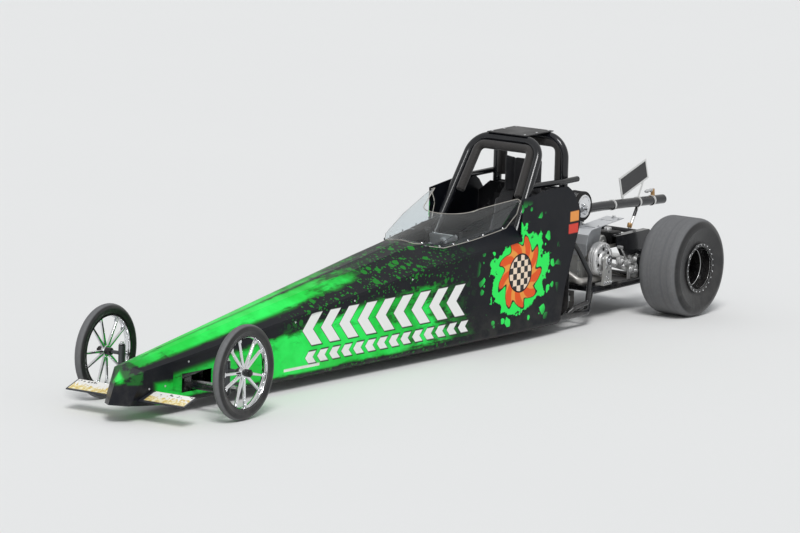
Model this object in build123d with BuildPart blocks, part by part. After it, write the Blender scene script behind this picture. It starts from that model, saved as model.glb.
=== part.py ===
"""Rear-engined junior drag racing car, in millimetres.

+X points to the nose, +Y to the car's left and +Z up. The ground is z = 0 and the origin lies
under the middle of the car's length.
"""
import os
from math import cos, radians, sin, sqrt, tan

from build123d import *

os.makedirs("parts", exist_ok=True)

# Overall lengths along the car
wheelbase = 3420
nose_overhang = 455
boom_overhang = 435

# Rear wheels, slicks and axle
rear_tyre_radius = 228.5
rear_tyre_width = 215
rear_half_track = 385
rear_rim_radius = 117
rear_shoulder_radius = 42
rear_axle_radius = 16

# Front wheels
front_tyre_radius = 203
front_tyre_width = 45
front_half_track = 360
front_rim_radius = 162
spoke_pairs = 5
spoke_spread = 8.5

# Tubes of the frame
rail_radius = 16
brace_radius = 11
hoop_radius = 20
tube_bend = 45
pad_radius = 30
pad_offset = 12
boom_radius = 22

# Frame ties behind the front axle
first_tie = 200
tie_pitch = 560

# Skins and small gaps
panel_thickness = 4
panel_inset = 4
lip_depth = 14
lip_thickness = 12
seat_gap = 0.3
running_gap = 0.08
# Longer than any piece that is cut
far = 600

# Belly
belly_z = 46
belly_thickness = 4
belly_corner = 28
belly_top_z = 90

# Cockpit
cockpit_rear = 745
quarter_front = 1160
quarter_front_z = 657
quarter_rear = 680
belly_rear = 822
cowl_front = 1800
screen_tip = 1745
wall_thickness = 4

# Cage
hoop_half_width = 180
hoop_top_z = 880
hoop_corner = 95
rear_hoop = 715
front_hoop_top = 905
front_hoop_foot = 1200
shoulder_bar_drop = 240
brace_bar_drop = 190
rear_pad_leg = 190
front_pad_leg = 240
front_pad_radius = 21

# Seat and headrest
seat_half_width = 170
seat_front = 1300
seat_hip = 960
seat_back_height = 549.7
headrest_half_width = 110
headrest_height = 186
headrest_thickness = 32
headrest_round = 24

# Engine bay, distances ahead of the rear axle
bay_rail_z = 140
bay_half_width = 175
arch_x = -145
arch_z = 330
crank = 355
crank_z = 278
clutch_radius = 77
clutch_sprocket_radius = 36
rear_sprocket_radius = 85
chain_y = 128
chain_width = 14
chain_thickness = 9
boom_z = 475
boom_drop = 28
boom_step = 15
boom_front = 100
boom_clamps = (-335, -210, 10)
strut_top = -226
strut_radius = 8

# Steering
kingpin_half_track = 275
kingpin_radius = 8
axle_beam_radius = 14
axle_beam_z = 112.5
steer_arm = 85
tie_rod_radius = 6
tie_pin_radius = 4
pitman_gap = 22
column_front_z = 147
column_radius = 9
wheel_x = 1410
wheel_z = 470
dash_reach = 130
steering_wheel_radius = 112
stub_radius = 8

# Where the axles stand
total_length = nose_overhang + wheelbase + boom_overhang
rear_axle_x = boom_overhang - total_length / 2
front_axle_x = rear_axle_x + wheelbase
nose_tip_x = front_axle_x + nose_overhang
nose_joint_x = front_axle_x + 130
rear_axle_z = rear_tyre_radius
front_axle_z = front_tyre_radius


def ahead(distance):
    """Place along the car of a point this far ahead of the rear axle."""
    return rear_axle_x + distance


# Hull sections: x, shoulder half width, shoulder z, crease half width, crease z, ridge z
hull = [
    (nose_joint_x, 94, 234, 24, 270, 275),
    (ahead(cowl_front), 218, 433, 78, 502, 511),
    (ahead(quarter_front), 258, 482, 205, 535, 560),
    (ahead(cockpit_rear - 45), 262, 505, 210, 560, 580),
]


def hull_at(x, column):
    """A column of the hull table at any x, by straight lines between its rows."""
    for front, back in zip(hull, hull[1:]):
        if x >= back[0] or back is hull[-1]:
            share = (front[0] - x) / (front[0] - back[0])
            return front[column] + share * (back[column] - front[column])


def skin_y(x):
    """Half width to the outer face of the side panels."""
    return hull_at(x, 1) - panel_inset


def across(x):
    """Plane across the car at x, with local x to the left and local y up."""
    return Plane(origin=(x, 0, 0), x_dir=(0, 1, 0), z_dir=(1, 0, 0))


def along(y):
    """Plane along the car at y, with local x forward and local y up, facing right."""
    return Plane.XZ.offset(-y)


def tube(points, radius, bend=0, mode=Mode.ADD):
    """Round bar through the points, with bends of one radius."""
    with BuildLine() as route:
        if bend:
            FilletPolyline(*points, radius=bend)
        else:
            Polyline(*points)
    with BuildSketch(Plane(origin=route.line @ 0, z_dir=route.line % 0)) as section:
        Circle(radius)
    sweep(section.sketch, path=route.line, mode=mode)


def drum(x, y, z, radius, width, mode=Mode.ADD):
    """Cylinder across the car from y towards the right, as wide as given."""
    with BuildSketch(along(y)) as face:
        with Locations((x, z)):
            Circle(radius)
    extrude(face.sketch, amount=width, mode=mode)


def block(low, high, mode=Mode.ADD):
    """Box between two corners."""
    with BuildSketch(Plane.XY.offset(low[2])) as face:
        with Locations(((low[0] + high[0]) / 2, (low[1] + high[1]) / 2)):
            Rectangle(high[0] - low[0], high[1] - low[1])
    extrude(face.sketch, amount=high[2] - low[2], mode=mode)


def finish(name, solid):
    """Label a piece and write it."""
    solid.label = name
    export_step(solid, f"parts/{name}.step")


sides = (("left", 1), ("right", -1))

# Frame: four rails, cross tubes and uprights, with the engine bay behind the cockpit
lower_rail_z = belly_z + belly_thickness + rail_radius + seat_gap
rail_front_x = nose_joint_x - 12
bay_front = cockpit_rear - 185
bay_kick = 110
rail_rear = -90
cage_x = ahead(rear_hoop)


def lower_rail_y(x):
    return skin_y(x) - panel_thickness - belly_corner


def upper_rail_y(x):
    return skin_y(x) - panel_thickness - rail_radius - 2


# Upper rail heights: x, z
upper_rail = [
    (rail_front_x, 150),
    (ahead(cowl_front), 372),
    (ahead(quarter_front), 432),
    (cage_x, 440),
]


def upper_rail_z(x):
    for front, back in zip(upper_rail, upper_rail[1:]):
        if x >= back[0] or back is upper_rail[-1]:
            share = (front[0] - x) / (front[0] - back[0])
            return front[1] + share * (back[1] - front[1])


dash_x = ahead(wheel_x + dash_reach)
frame_ties = [front_axle_x - first_tie - row * tie_pitch for row in range(3)] + [dash_x]
mount_plate_top = bay_rail_z + rail_radius + 6

# Steering line: from behind the wheel down to the pitman arm beside the tie rod
tie_rod_x = front_axle_x - steer_arm
pitman_x = tie_rod_x - pitman_gap
column_slope = (wheel_z - column_front_z) / (pitman_x - ahead(wheel_x))


def column_z(x):
    return wheel_z - column_slope * (x - ahead(wheel_x))


def column_piece(x, half, radius, mode=Mode.ADD):
    """Round piece on the column's axis, this far to both sides of x."""
    tube([(x - half, 0, column_z(x - half)), (x + half, 0, column_z(x + half))], radius, mode=mode)


rear_tie_x = ahead(rail_rear) + brace_radius + 6
mount_plate_bottom = bay_rail_z
mount_plate_half = bay_half_width + 14
mount_plate_front = crank + 110
mount_plate_rear = crank - 120
bearing_plate = 12
bearing_plate_length = 70
bearing_plate_rim = 6
clamp_half_length = 24
clamp_half_width = 7
column_bearing_wall = 7
column_bearing_half = 10
bore_half = 30
bearing_ring_radius = 34
bearing_ring_width = 30
side_hoop_y = hull[-1][1] - 22
# Side hoop, from the lower rail outward, up and back in: distance ahead of the rear axle, z
side_hoop = [(688, 100), (575, 112), (556, 237), (668, 368)]
side_hoop_foot = 725
# Chain guard sheet over the rear sprocket: distance ahead of the rear axle, z
chain_guard = [(195, 318), (195, 362), (-88, 362), (-120, 325), (-120, 262), (150, 262)]
chain_guard_y = 145
chain_guard_flange_y = 112
guard_tab_half = 15
guard_tab_low = 28
guard_tab_high = 48

with BuildPart() as frame:
    for side, sign in sides:
        lower = [
            (x, sign * lower_rail_y(x), lower_rail_z)
            for x in (rail_front_x, ahead(cowl_front), ahead(quarter_front), ahead(bay_front))
        ]
        lower.append((ahead(bay_front - bay_kick), sign * bay_half_width, bay_rail_z))
        lower.append((ahead(rail_rear), sign * bay_half_width, bay_rail_z))
        tube(lower, rail_radius, bend=tube_bend)
        tube([(x, sign * upper_rail_y(x), z) for x, z in upper_rail], rail_radius, bend=tube_bend)
        for x in frame_ties:
            foot = (x, sign * lower_rail_y(x), lower_rail_z)
            head = (x, sign * upper_rail_y(x), upper_rail_z(x))
            tube([foot, head], brace_radius)
        # Axle bearing and its plate
        plate_y = bay_half_width + bearing_plate / 2 if sign > 0 else -bay_half_width + bearing_plate / 2
        with BuildSketch(along(plate_y)) as plate:
            with Locations((rear_axle_x, (bay_rail_z + rear_axle_z) / 2)):
                Rectangle(bearing_plate_length, rear_axle_z - bay_rail_z)
            with Locations((rear_axle_x, rear_axle_z)):
                Circle(bearing_ring_radius + bearing_plate_rim)
        extrude(plate.sketch, amount=bearing_plate)
        ring_y = sign * bay_half_width + bearing_ring_width / 2
        drum(rear_axle_x, ring_y, rear_axle_z, bearing_ring_radius, bearing_ring_width)
        drum(rear_axle_x, ring_y + 1, rear_axle_z, rear_axle_radius + running_gap,
             bearing_ring_width + 2, mode=Mode.SUBTRACT)
        # Plate that holds the front axle beam between the rails
        clamp_y = sign * lower_rail_y(front_axle_x)
        block((front_axle_x - clamp_half_length, clamp_y - clamp_half_width, lower_rail_z),
              (front_axle_x + clamp_half_length, clamp_y + clamp_half_width,
               upper_rail_z(front_axle_x)))
        # Guard hoop beside the engine bay
        tube([
            (ahead(side_hoop_foot), sign * (lower_rail_y(ahead(cockpit_rear)) - 8), lower_rail_z),
            *[(ahead(x), sign * side_hoop_y, z) for x, z in side_hoop],
            (cage_x - 4, sign * upper_rail_y(cage_x), upper_rail_z(cage_x) - 30),
            (cage_x, sign * upper_rail_y(cage_x), upper_rail_z(cage_x)),
        ], brace_radius, bend=14)
    for x in frame_ties:
        y = lower_rail_y(x)
        tube([(x, -y, lower_rail_z), (x, y, lower_rail_z)], brace_radius)
    for x in (ahead(side_hoop_foot), ahead(bay_front)):
        y = lower_rail_y(x)
        tube([(x, -y, lower_rail_z), (x, y, lower_rail_z)], brace_radius)
    tube([(rear_tie_x, -bay_half_width, bay_rail_z), (rear_tie_x, bay_half_width, bay_rail_z)],
         brace_radius)
    # Arch behind the axle, which carries the boom's strut
    tube([
        (rear_tie_x, -bay_half_width, bay_rail_z), (ahead(arch_x), -bay_half_width, arch_z),
        (ahead(arch_x), bay_half_width, arch_z), (rear_tie_x, bay_half_width, bay_rail_z),
    ], brace_radius, bend=tube_bend)
    # Chain guard with its top flange, held by the left bearing ring
    with BuildSketch(along(chain_guard_y + panel_thickness)) as cover:
        Polygon(*[(ahead(x), z) for x, z in chain_guard], align=None)
    extrude(cover.sketch, amount=panel_thickness)
    flange_front, flange_z = chain_guard[1]
    block((ahead(chain_guard[2][0]), chain_guard_flange_y, flange_z - panel_thickness),
          (ahead(flange_front), chain_guard_y + 1, flange_z))
    block((rear_axle_x - guard_tab_half, chain_guard_y + 2, rear_axle_z + guard_tab_low),
          (rear_axle_x + guard_tab_half, bay_half_width - bearing_ring_width / 2 + 2,
           rear_axle_z + guard_tab_high))
    # Upper tie ahead of the steering wheel, which carries the dash
    tube([(dash_x, -upper_rail_y(dash_x), upper_rail_z(dash_x)),
          (dash_x, upper_rail_y(dash_x), upper_rail_z(dash_x))], brace_radius)
    # Engine mount plate across the bay rails
    block((ahead(mount_plate_rear), -mount_plate_half, mount_plate_bottom),
          (ahead(mount_plate_front), mount_plate_half, mount_plate_top))
    # Bearing of the steering column on the foremost cross tube
    x = frame_ties[0]
    tube([(x, 0, lower_rail_z), (x, 0, column_z(x))], brace_radius)
    column_piece(x, column_bearing_half, column_radius + column_bearing_wall)
    column_piece(x, bore_half, column_radius + running_gap, mode=Mode.SUBTRACT)
    # Bore for the front axle beam
    drum(front_axle_x, lower_rail_y(front_axle_x) + 20, axle_beam_z, axle_beam_radius + running_gap,
         2 * lower_rail_y(front_axle_x) + 40, mode=Mode.SUBTRACT)

front_split = ahead(wheel_x + 200)
rear_split = ahead(bay_front - 22)
with BuildPart() as frame_front:
    add(frame.part)
    split(bisect_by=Plane.YZ.offset(front_split), keep=Keep.TOP)
with BuildPart() as frame_cockpit:
    add(frame.part)
    split(bisect_by=Plane.YZ.offset(front_split), keep=Keep.BOTTOM)
    split(bisect_by=Plane.YZ.offset(rear_split), keep=Keep.TOP)
with BuildPart() as frame_rear:
    add(frame.part)
    split(bisect_by=Plane.YZ.offset(rear_split), keep=Keep.BOTTOM)
finish("frame_front", frame_front.part)
finish("frame_cockpit", frame_cockpit.part)
finish("frame_rear", frame_rear.part)

# Nose cone, sections: x, belly half width, belly z, shoulder half width, shoulder z, crease half
# width, crease z, ridge z. The last one lies past the tip, where the bow is cut.
nose_rise = 38
nose_end_x = nose_tip_x + 20
belly_flare = 2
belly_edge_rise = 26
nose = [
    (nose_joint_x, skin_y(nose_joint_x) - 12, belly_z, *hull[0][1:]),
    (nose_end_x, 58, belly_z + nose_rise, 64, 197, 17, 216, 221),
]
bow_foot_z = belly_z + nose_rise * (nose_tip_x - nose_joint_x) / (nose_end_x - nose_joint_x)
bow_foot = (nose_tip_x, 0, bow_foot_z)
bow_top = (nose_tip_x - 43, 0, bow_foot_z + 88)
bow_corner = (nose_tip_x - 57, 62, bow_foot_z - 8)
cheek_top = (nose_tip_x - 85, 0, bow_foot_z + 154)
cheek_corner = (nose_tip_x - 140, 78, bow_foot_z + 130)


def facing_forward(first, second, third):
    """Plane through three points, facing forward."""
    normal = (Vector(*second) - Vector(*first)).cross(Vector(*third) - Vector(*first))
    return Plane(origin=first, z_dir=normal if normal.X > 0 else -normal)


with BuildPart() as nose_cone:
    for x, belly, low_z, shoulder, shoulder_z, crease, crease_z, ridge_z in nose:
        with BuildSketch(across(x)):
            Polygon(
                (belly, low_z), (shoulder - belly_flare, low_z + belly_edge_rise),
                (shoulder, shoulder_z), (crease, crease_z), (0, ridge_z), (-crease, crease_z),
                (-shoulder, shoulder_z), (-shoulder + belly_flare, low_z + belly_edge_rise),
                (-belly, low_z), align=None,
            )
    loft(ruled=True)
    # Flat faces of the bow and of the cheeks above it
    for side, sign in sides:
        low_point = (bow_corner[0], sign * bow_corner[1], bow_corner[2])
        high_point = (cheek_corner[0], sign * cheek_corner[1], cheek_corner[2])
        split(bisect_by=facing_forward(bow_foot, bow_top, low_point), keep=Keep.BOTTOM)
        split(bisect_by=facing_forward(bow_top, cheek_top, high_point), keep=Keep.BOTTOM)
finish("nose_cone", nose_cone.part)

# Hood, with the cockpit opening cut in its rear
opening_tip = screen_tip - 18
opening_round = 140
opening_rear = quarter_front - 5
opening_margin = 14
with BuildPart() as hood:
    for x, shoulder, shoulder_z, crease, crease_z, ridge_z in hull[:3]:
        under = panel_thickness
        with BuildSketch(across(x)):
            Polygon(
                (shoulder, shoulder_z - lip_depth), (shoulder, shoulder_z), (crease, crease_z),
                (0, ridge_z), (-crease, crease_z), (-shoulder, shoulder_z),
                (-shoulder, shoulder_z - lip_depth),
                (-shoulder + lip_thickness, shoulder_z - lip_depth),
                (-shoulder + lip_thickness, shoulder_z - under),
                (-crease, crease_z - under), (0, ridge_z - under), (crease, crease_z - under),
                (shoulder - lip_thickness, shoulder_z - under),
                (shoulder - lip_thickness, shoulder_z - lip_depth), align=None,
            )
    loft(ruled=True)
    with BuildSketch(Plane.XY.offset(hull[0][2])):
        with BuildLine():
            rear_x = ahead(opening_rear)
            shoulder_x = ahead(opening_tip) - opening_round
            rear_y = hull[2][3] - opening_margin
            ThreePointArc((shoulder_x, -opening_round), (ahead(opening_tip), 0),
                          (shoulder_x, opening_round))
            Polyline((shoulder_x, opening_round), (rear_x, rear_y), (rear_x, -rear_y),
                     (shoulder_x, -opening_round))
        make_face()
    extrude(amount=far, mode=Mode.SUBTRACT)
finish("hood", hood.part)

# Side panels with the cut-out for the front axle and the raised quarter beside the driver
cutout_front = 70
cutout_rear = 125
cutout_top_z = 172
# Rear edge of the raised quarter from its top down: distance ahead of the rear axle, z
quarter_edge = [
    (950, 679), (794, 676), (752, 650), (707, 599), (684, 548), (684, 498), (731, 373),
    (796, 211), (belly_rear, belly_top_z),
]
for side, sign in sides:
    with BuildPart() as side_panel:
        stations = [row[0] for row in hull[:-1]] + [ahead(quarter_rear)]
        outer = [(x, sign * skin_y(x)) for x in stations]
        inner = [(x, sign * (skin_y(x) - panel_thickness)) for x in reversed(stations)]
        with BuildSketch(Plane.XY.offset(belly_top_z)):
            Polygon(*outer, *inner, align=None)
        extrude(amount=quarter_front_z)
        with BuildSketch(Plane.XZ):
            lip = [(x, hull_at(x, 2) - lip_depth - seat_gap) for x in stations[:3]]
            front = ahead(quarter_front) - seat_gap
            Polygon(
                (nose_joint_x, belly_top_z), *lip, (front, quarter_front_z),
                *[(ahead(x), z) for x, z in quarter_edge], align=None,
            )
        extrude(amount=2 * hull[-1][1], both=True, mode=Mode.INTERSECT)
        block((front_axle_x - cutout_rear, -far, belly_top_z - 5),
              (front_axle_x + cutout_front, far, cutout_top_z), mode=Mode.SUBTRACT)
    finish(f"side_panel_{side}", side_panel.part)

# Belly pan with rounded lower corners
with BuildPart() as belly_pan:
    for x in (nose_joint_x, ahead(cowl_front), ahead(quarter_front), ahead(belly_rear)):
        half = skin_y(x)
        with BuildSketch(across(x)):
            with BuildLine():
                for radius, y, z in (
                    (belly_corner, half, belly_z),
                    (belly_corner - belly_thickness, half - belly_thickness,
                     belly_z + belly_thickness),
                ):
                    Line((-y, belly_top_z), (-y, z + radius))
                    RadiusArc((-y, z + radius), (-y + radius, z), -radius)
                    Line((-y + radius, z), (y - radius, z))
                    RadiusArc((y - radius, z), (y, z + radius), -radius)
                    Line((y, z + radius), (y, belly_top_z))
                for sign in (1, -1):
                    Line((sign * half, belly_top_z), (sign * (half - belly_thickness), belly_top_z))
            make_face()
    loft(ruled=True)
finish("belly_pan", belly_pan.part)

# Firewall behind the seat
firewall_x = ahead(cockpit_rear) + 8
firewall_edge_z = 600
firewall_top_z = 650
firewall_corner = 60
firewall_low_z = lower_rail_z + rail_radius + 2
firewall_low_corner = 24
with BuildPart() as firewall:
    inside = skin_y(firewall_x) - panel_thickness - 2
    with BuildSketch(across(firewall_x)):
        Polygon(
            (inside - firewall_low_corner, firewall_low_z),
            (inside, firewall_low_z + firewall_low_corner), (inside, firewall_edge_z),
            (inside - firewall_corner, firewall_top_z), (-inside + firewall_corner, firewall_top_z),
            (-inside, firewall_edge_z), (-inside, firewall_low_z + firewall_low_corner),
            (-inside + firewall_low_corner, firewall_low_z), align=None,
        )
        for sign in (1, -1):
            with Locations((sign * upper_rail_y(firewall_x), upper_rail_z(firewall_x))):
                Circle(rail_radius + seat_gap, mode=Mode.SUBTRACT)
    extrude(amount=wall_thickness)
finish("firewall", firewall.part)

# Roll cage: a bent hoop each, the rear one upright and the front one raked
shoulder_bar_z = hoop_top_z - shoulder_bar_drop
brace_bar_z = hoop_top_z - brace_bar_drop
rear_foot_z = lower_rail_z + brace_radius + seat_gap
rear_route = [
    (cage_x, -hoop_half_width, rear_foot_z), (cage_x, -hoop_half_width, hoop_top_z),
    (cage_x, hoop_half_width, hoop_top_z), (cage_x, hoop_half_width, rear_foot_z),
]
with BuildPart() as roll_hoop_rear:
    tube(rear_route, hoop_radius, bend=hoop_corner)
    for z in (shoulder_bar_z, boom_z + boom_step):
        tube([(cage_x, -hoop_half_width, z), (cage_x, hoop_half_width, z)], brace_radius + 4)
finish("roll_hoop_rear", roll_hoop_rear.part)

front_leg_inset = 12
front_leg_sink = 20
front_leg_y = upper_rail_y(ahead(front_hoop_foot)) - front_leg_inset
foot = (ahead(front_hoop_foot), front_leg_y,
        upper_rail_z(ahead(front_hoop_foot)) - front_leg_sink)
top_x = ahead(front_hoop_top)
front_route = [
    (foot[0], -foot[1], foot[2]), (top_x, -hoop_half_width, hoop_top_z),
    (top_x, hoop_half_width, hoop_top_z), foot,
]
lean = (foot[0] - top_x) / (hoop_top_z - foot[2])
brace_front_x = top_x + lean * (hoop_top_z - brace_bar_z)
brace_y = hoop_half_width + hoop_radius + brace_radius + seat_gap + 3
brace_turn = 60
brace_past = 62
brace_inset = 18
with BuildPart() as roll_hoop_front:
    tube(front_route, hoop_radius, bend=hoop_corner)
    floor_z = upper_rail_z(ahead(front_hoop_foot)) + 3
    block((foot[0] - far, -far, foot[2] - far), (foot[0] + far, far, floor_z), mode=Mode.SUBTRACT)
    # Fish mouth over the upper rail
    for side, sign in sides:
        tube([(x, sign * upper_rail_y(x), z) for x, z in upper_rail[1:]], rail_radius + seat_gap,
             bend=tube_bend, mode=Mode.SUBTRACT)
    # Braces back to the rear hoop and past it
    for side, sign in sides:
        tube([
            (brace_front_x, sign * (brace_y - brace_inset), brace_bar_z + 4),
            (cage_x + brace_turn, sign * brace_y, brace_bar_z),
            (cage_x - brace_past, sign * brace_y, brace_bar_z),
        ], brace_radius + 2, bend=brace_turn)
finish("roll_hoop_front", roll_hoop_front.part)

# Foam inside the arch of each hoop: around the rear one, a roll along the front one
front_leg = (Vector(*foot) - Vector(top_x, hoop_half_width, hoop_top_z)).normalized()
front_pad_offset = hoop_radius + front_pad_radius + seat_gap


def pad_route(hoop_route, leg, offset, length):
    """Hoop's line moved inward, ending part of the way down its legs."""
    inward = (leg - Vector(0, 1, 0)) / sqrt(1 - leg.Y ** 2)
    corner = Vector(*hoop_route[2]) + inward * offset
    end = corner + leg * length
    return [
        (end.X, -end.Y, end.Z), (corner.X, -corner.Y, corner.Z),
        (corner.X, corner.Y, corner.Z), (end.X, end.Y, end.Z),
    ]


with BuildPart() as cage_pads:
    tube(pad_route(rear_route, Vector(0, 0, -1), pad_offset, rear_pad_leg), pad_radius,
         bend=hoop_corner - pad_offset)
    tube(rear_route, hoop_radius, bend=hoop_corner, mode=Mode.SUBTRACT)
    tube(pad_route(front_route, front_leg, front_pad_offset, front_pad_leg), front_pad_radius,
         bend=hoop_corner - front_pad_offset)
finish("cage_pads", cage_pads.part)

# Plate over the head between the hoops
with BuildPart() as roof_plate:
    plate_z = hoop_top_z + hoop_radius + seat_gap
    half = hoop_half_width - hoop_corner + 20
    block((cage_x - hoop_radius, -half, plate_z),
          (ahead(front_hoop_top) + hoop_radius, half, plate_z + wall_thickness))
finish("roof_plate", roof_plate.part)

# Windshield sections: x, half width at its foot, half width at the side's top, side z, top z
screen_thickness = 3
screen_foot_z = 400
screen = [
    (ahead(quarter_front), 160, 243, 650, 690),
    (ahead(screen_tip - 295), 165, 192, 580, 607),
    (ahead(screen_tip - 105), 150, 158, 515, 553),
    (ahead(screen_tip), 90, 92, 498, 518),
]
rim_tip = screen_tip - 283
rim_round = 140
rim_depth = 112
rim_margin = 18
trim_reach = 20
trim_low_z = 300
with BuildPart() as windshield:
    for inset, mode in ((0, Mode.ADD), (screen_thickness, Mode.SUBTRACT)):
        for x, foot_half, half, side_z, top_z in screen:
            with BuildSketch(across(x)):
                with BuildLine():
                    Polyline((-half + inset, side_z), (-foot_half + inset, screen_foot_z),
                             (foot_half - inset, screen_foot_z), (half - inset, side_z))
                    ThreePointArc((half - inset, side_z), (0, top_z - inset), (-half + inset, side_z))
                make_face()
        loft(ruled=True, mode=mode)
    # Foot trimmed along the hood
    for x, shoulder, shoulder_z, crease, crease_z, ridge_z in hull[:3]:
        with BuildSketch(across(x)):
            lift = seat_gap + 0.4
            Polygon(
                (shoulder + trim_reach, trim_low_z), (shoulder + trim_reach, shoulder_z + lift),
                (shoulder, shoulder_z + lift), (crease, crease_z + lift),
                (0, ridge_z + lift), (-crease, crease_z + lift), (-shoulder, shoulder_z + lift),
                (-shoulder - trim_reach, shoulder_z + lift), (-shoulder - trim_reach, trim_low_z),
                align=None,
            )
    loft(ruled=True, mode=Mode.SUBTRACT)
    with BuildSketch(Plane.XY.offset(screen_foot_z)):
        with BuildLine():
            rim_y = screen[0][2] - rim_margin
            rear_x = ahead(opening_rear)
            shoulder_x = ahead(rim_tip) - rim_depth
            ThreePointArc((shoulder_x, -rim_round), (ahead(rim_tip), 0), (shoulder_x, rim_round))
            Polyline((shoulder_x, rim_round), (rear_x, rim_y), (rear_x, -rim_y),
                     (shoulder_x, -rim_round))
        make_face()
    extrude(amount=far, mode=Mode.SUBTRACT)
finish("windshield", windshield.part)

# Front foils either side of the nose
foil_root = 62
foil_span = 308
foil_chord = 86
foil_thickness = 5
foil_z = 92
foil_rise = 28
foil_front = nose_tip_x - 112
with BuildPart() as front_foils:
    for side, sign in sides:
        low_y, high_y = sorted((sign * foil_root, sign * foil_span))
        with BuildSketch(along(high_y)):
            Polygon(
                (foil_front, foil_z), (foil_front - foil_chord, foil_z + foil_rise),
                (foil_front - foil_chord, foil_z + foil_rise + foil_thickness),
                (foil_front, foil_z + foil_thickness), align=None,
            )
        extrude(amount=high_y - low_y)
    add(nose_cone.part, mode=Mode.SUBTRACT)
finish("front_foils", front_foils.part)

# Seat: base and leaning back
seat_floor_z = belly_z + belly_thickness + seat_gap
# Section: distance ahead of the rear axle, height above the floor
seat_section = [
    (seat_front, 0), (seat_front, 60), (seat_hip, 30), (cockpit_rear + 60, seat_back_height),
    (cockpit_rear + 16, seat_back_height), (seat_hip - 70, 40), (seat_hip - 60, 0),
]
with BuildPart() as seat:
    with BuildSketch(along(seat_half_width)):
        Polygon(*[(ahead(x), seat_floor_z + z) for x, z in seat_section], align=None)
    extrude(amount=2 * seat_half_width)
finish("seat", seat.part)

with BuildPart() as headrest:
    headrest_x = firewall_x + wall_thickness + seat_gap
    headrest_z = seat_floor_z + seat_back_height + 4
    block((headrest_x, -headrest_half_width, headrest_z),
          (headrest_x + headrest_thickness, headrest_half_width, headrest_z + headrest_height))
    fillet(headrest.edges().filter_by(Axis.X), headrest_round)
finish("headrest", headrest.part)

# Dash on the upper tie
dash_width = 180
dash_height = 64
dash_thickness = 10
with BuildPart() as dash_panel:
    with BuildSketch(across(dash_x - dash_thickness / 2)):
        low = upper_rail_z(dash_x) + brace_radius + seat_gap
        with Locations((0, low + dash_height / 2)):
            Rectangle(dash_width, dash_height)
    extrude(amount=dash_thickness)
    column_piece(dash_x, bore_half, column_radius + running_gap, mode=Mode.SUBTRACT)
finish("dash_panel", dash_panel.part)

# Engine: crankcase, finned cylinder, filter, exhaust
case_front = crank + 95
case_rear = crank - 100
case_half = 110
case_top_z = 335
case_boss_radius = 46
case_round = 18
crank_radius = 12
crank_stub = 20
with BuildPart() as engine_crankcase:
    block((ahead(case_rear), -case_half, mount_plate_top),
          (ahead(case_front), case_half - 10, case_top_z))
    fillet(engine_crankcase.edges().filter_by(Axis.Y), case_round)
    drum(ahead(crank), case_half, crank_z, case_boss_radius, 12)
    drum(ahead(crank), chain_y - chain_width / 2 - 2, crank_z, crank_radius, crank_stub)
finish("engine_crankcase", engine_crankcase.part)

fin_pitch = 12
fin_count = 7
fin_size = 120
fin_thickness = 4
barrel_bore_radius = 44
cylinder_x = ahead(crank - 5)
cylinder_y = -15
with BuildPart() as engine_cylinder:
    first_fin_z = case_top_z + 8
    with BuildSketch(Plane.XY.offset(case_top_z)) as barrel:
        with Locations((cylinder_x, cylinder_y)):
            Circle(barrel_bore_radius)
    extrude(barrel.sketch, amount=first_fin_z - case_top_z + fin_pitch * fin_count)
    for index in range(fin_count):
        with BuildSketch(Plane.XY.offset(first_fin_z + index * fin_pitch)) as fin:
            with Locations((cylinder_x, cylinder_y)):
                RectangleRounded(fin_size, fin_size - 10, 14)
        extrude(fin.sketch, amount=fin_thickness)
finish("engine_cylinder", engine_cylinder.part)

# Air filter left of the boom, on a duct that comes from the cylinder's front
filter_radius = 66
filter_face = 102
filter_width = 60
filter_x = ahead(412)
filter_z = 522
duct_front = ahead(438)
duct_left = 92
duct_low_z = 406
duct_top_z = 452
duct_right = 2 * cylinder_y
with BuildPart() as air_filter:
    drum(filter_x, filter_face, filter_z, filter_radius, filter_width)
    block((cylinder_x + fin_size / 2 + seat_gap, duct_right, duct_low_z),
          (duct_front, duct_left, duct_top_z))
    block((duct_front - 24, filter_face - filter_width + 4, duct_low_z),
          (duct_front, duct_left, filter_z - filter_radius + 8))
finish("air_filter", air_filter.part)

# Exhaust route: distance ahead of the crank, y, z
exhaust_radius = 16
exhaust_route = [
    (30, cylinder_y, 385), (120, cylinder_y, 385), (165, 40, 250), (150, 145, 190), (60, 148, 184),
    (-90, 148, 180),
]
with BuildPart() as exhaust_pipe:
    tube([(ahead(crank + x), y, z) for x, y, z in exhaust_route], exhaust_radius, bend=24)
    add(engine_cylinder.part, mode=Mode.SUBTRACT)
finish("exhaust_pipe", exhaust_pipe.part)

# Clutch outboard of its sprocket, with the plate that carries its outer bearing
clutch_face = 178
clutch_width = 34
with BuildPart() as clutch:
    drum(ahead(crank), clutch_face, crank_z, clutch_radius, clutch_width)
    drum(ahead(crank), clutch_face + crank_stub, crank_z, crank_radius, crank_stub)
    drum(ahead(crank), clutch_face - clutch_width, crank_z, clutch_sprocket_radius,
         clutch_face - clutch_width - chain_y + chain_width / 2 + 2)
finish("clutch", clutch.part)

support_y = clutch_face + crank_stub
support_thickness = 12
support_boss_radius = 26
support_flange = 8
support_rear = crank - 30
support_front = crank + 40
with BuildPart() as clutch_support:
    support_low = mount_plate_top + seat_gap
    with BuildSketch(along(support_y + support_thickness)):
        with Locations((ahead(crank), crank_z)):
            Circle(support_boss_radius)
        Polygon(
            (ahead(crank - support_boss_radius), crank_z), (ahead(crank + support_boss_radius), crank_z),
            (ahead(support_front), support_low), (ahead(support_rear), support_low), align=None,
        )
    extrude(amount=support_thickness)
    block((ahead(support_rear), bay_half_width - support_flange, support_low),
          (ahead(support_front), support_y, support_low + support_flange))
finish("clutch_support", clutch_support.part)

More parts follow.
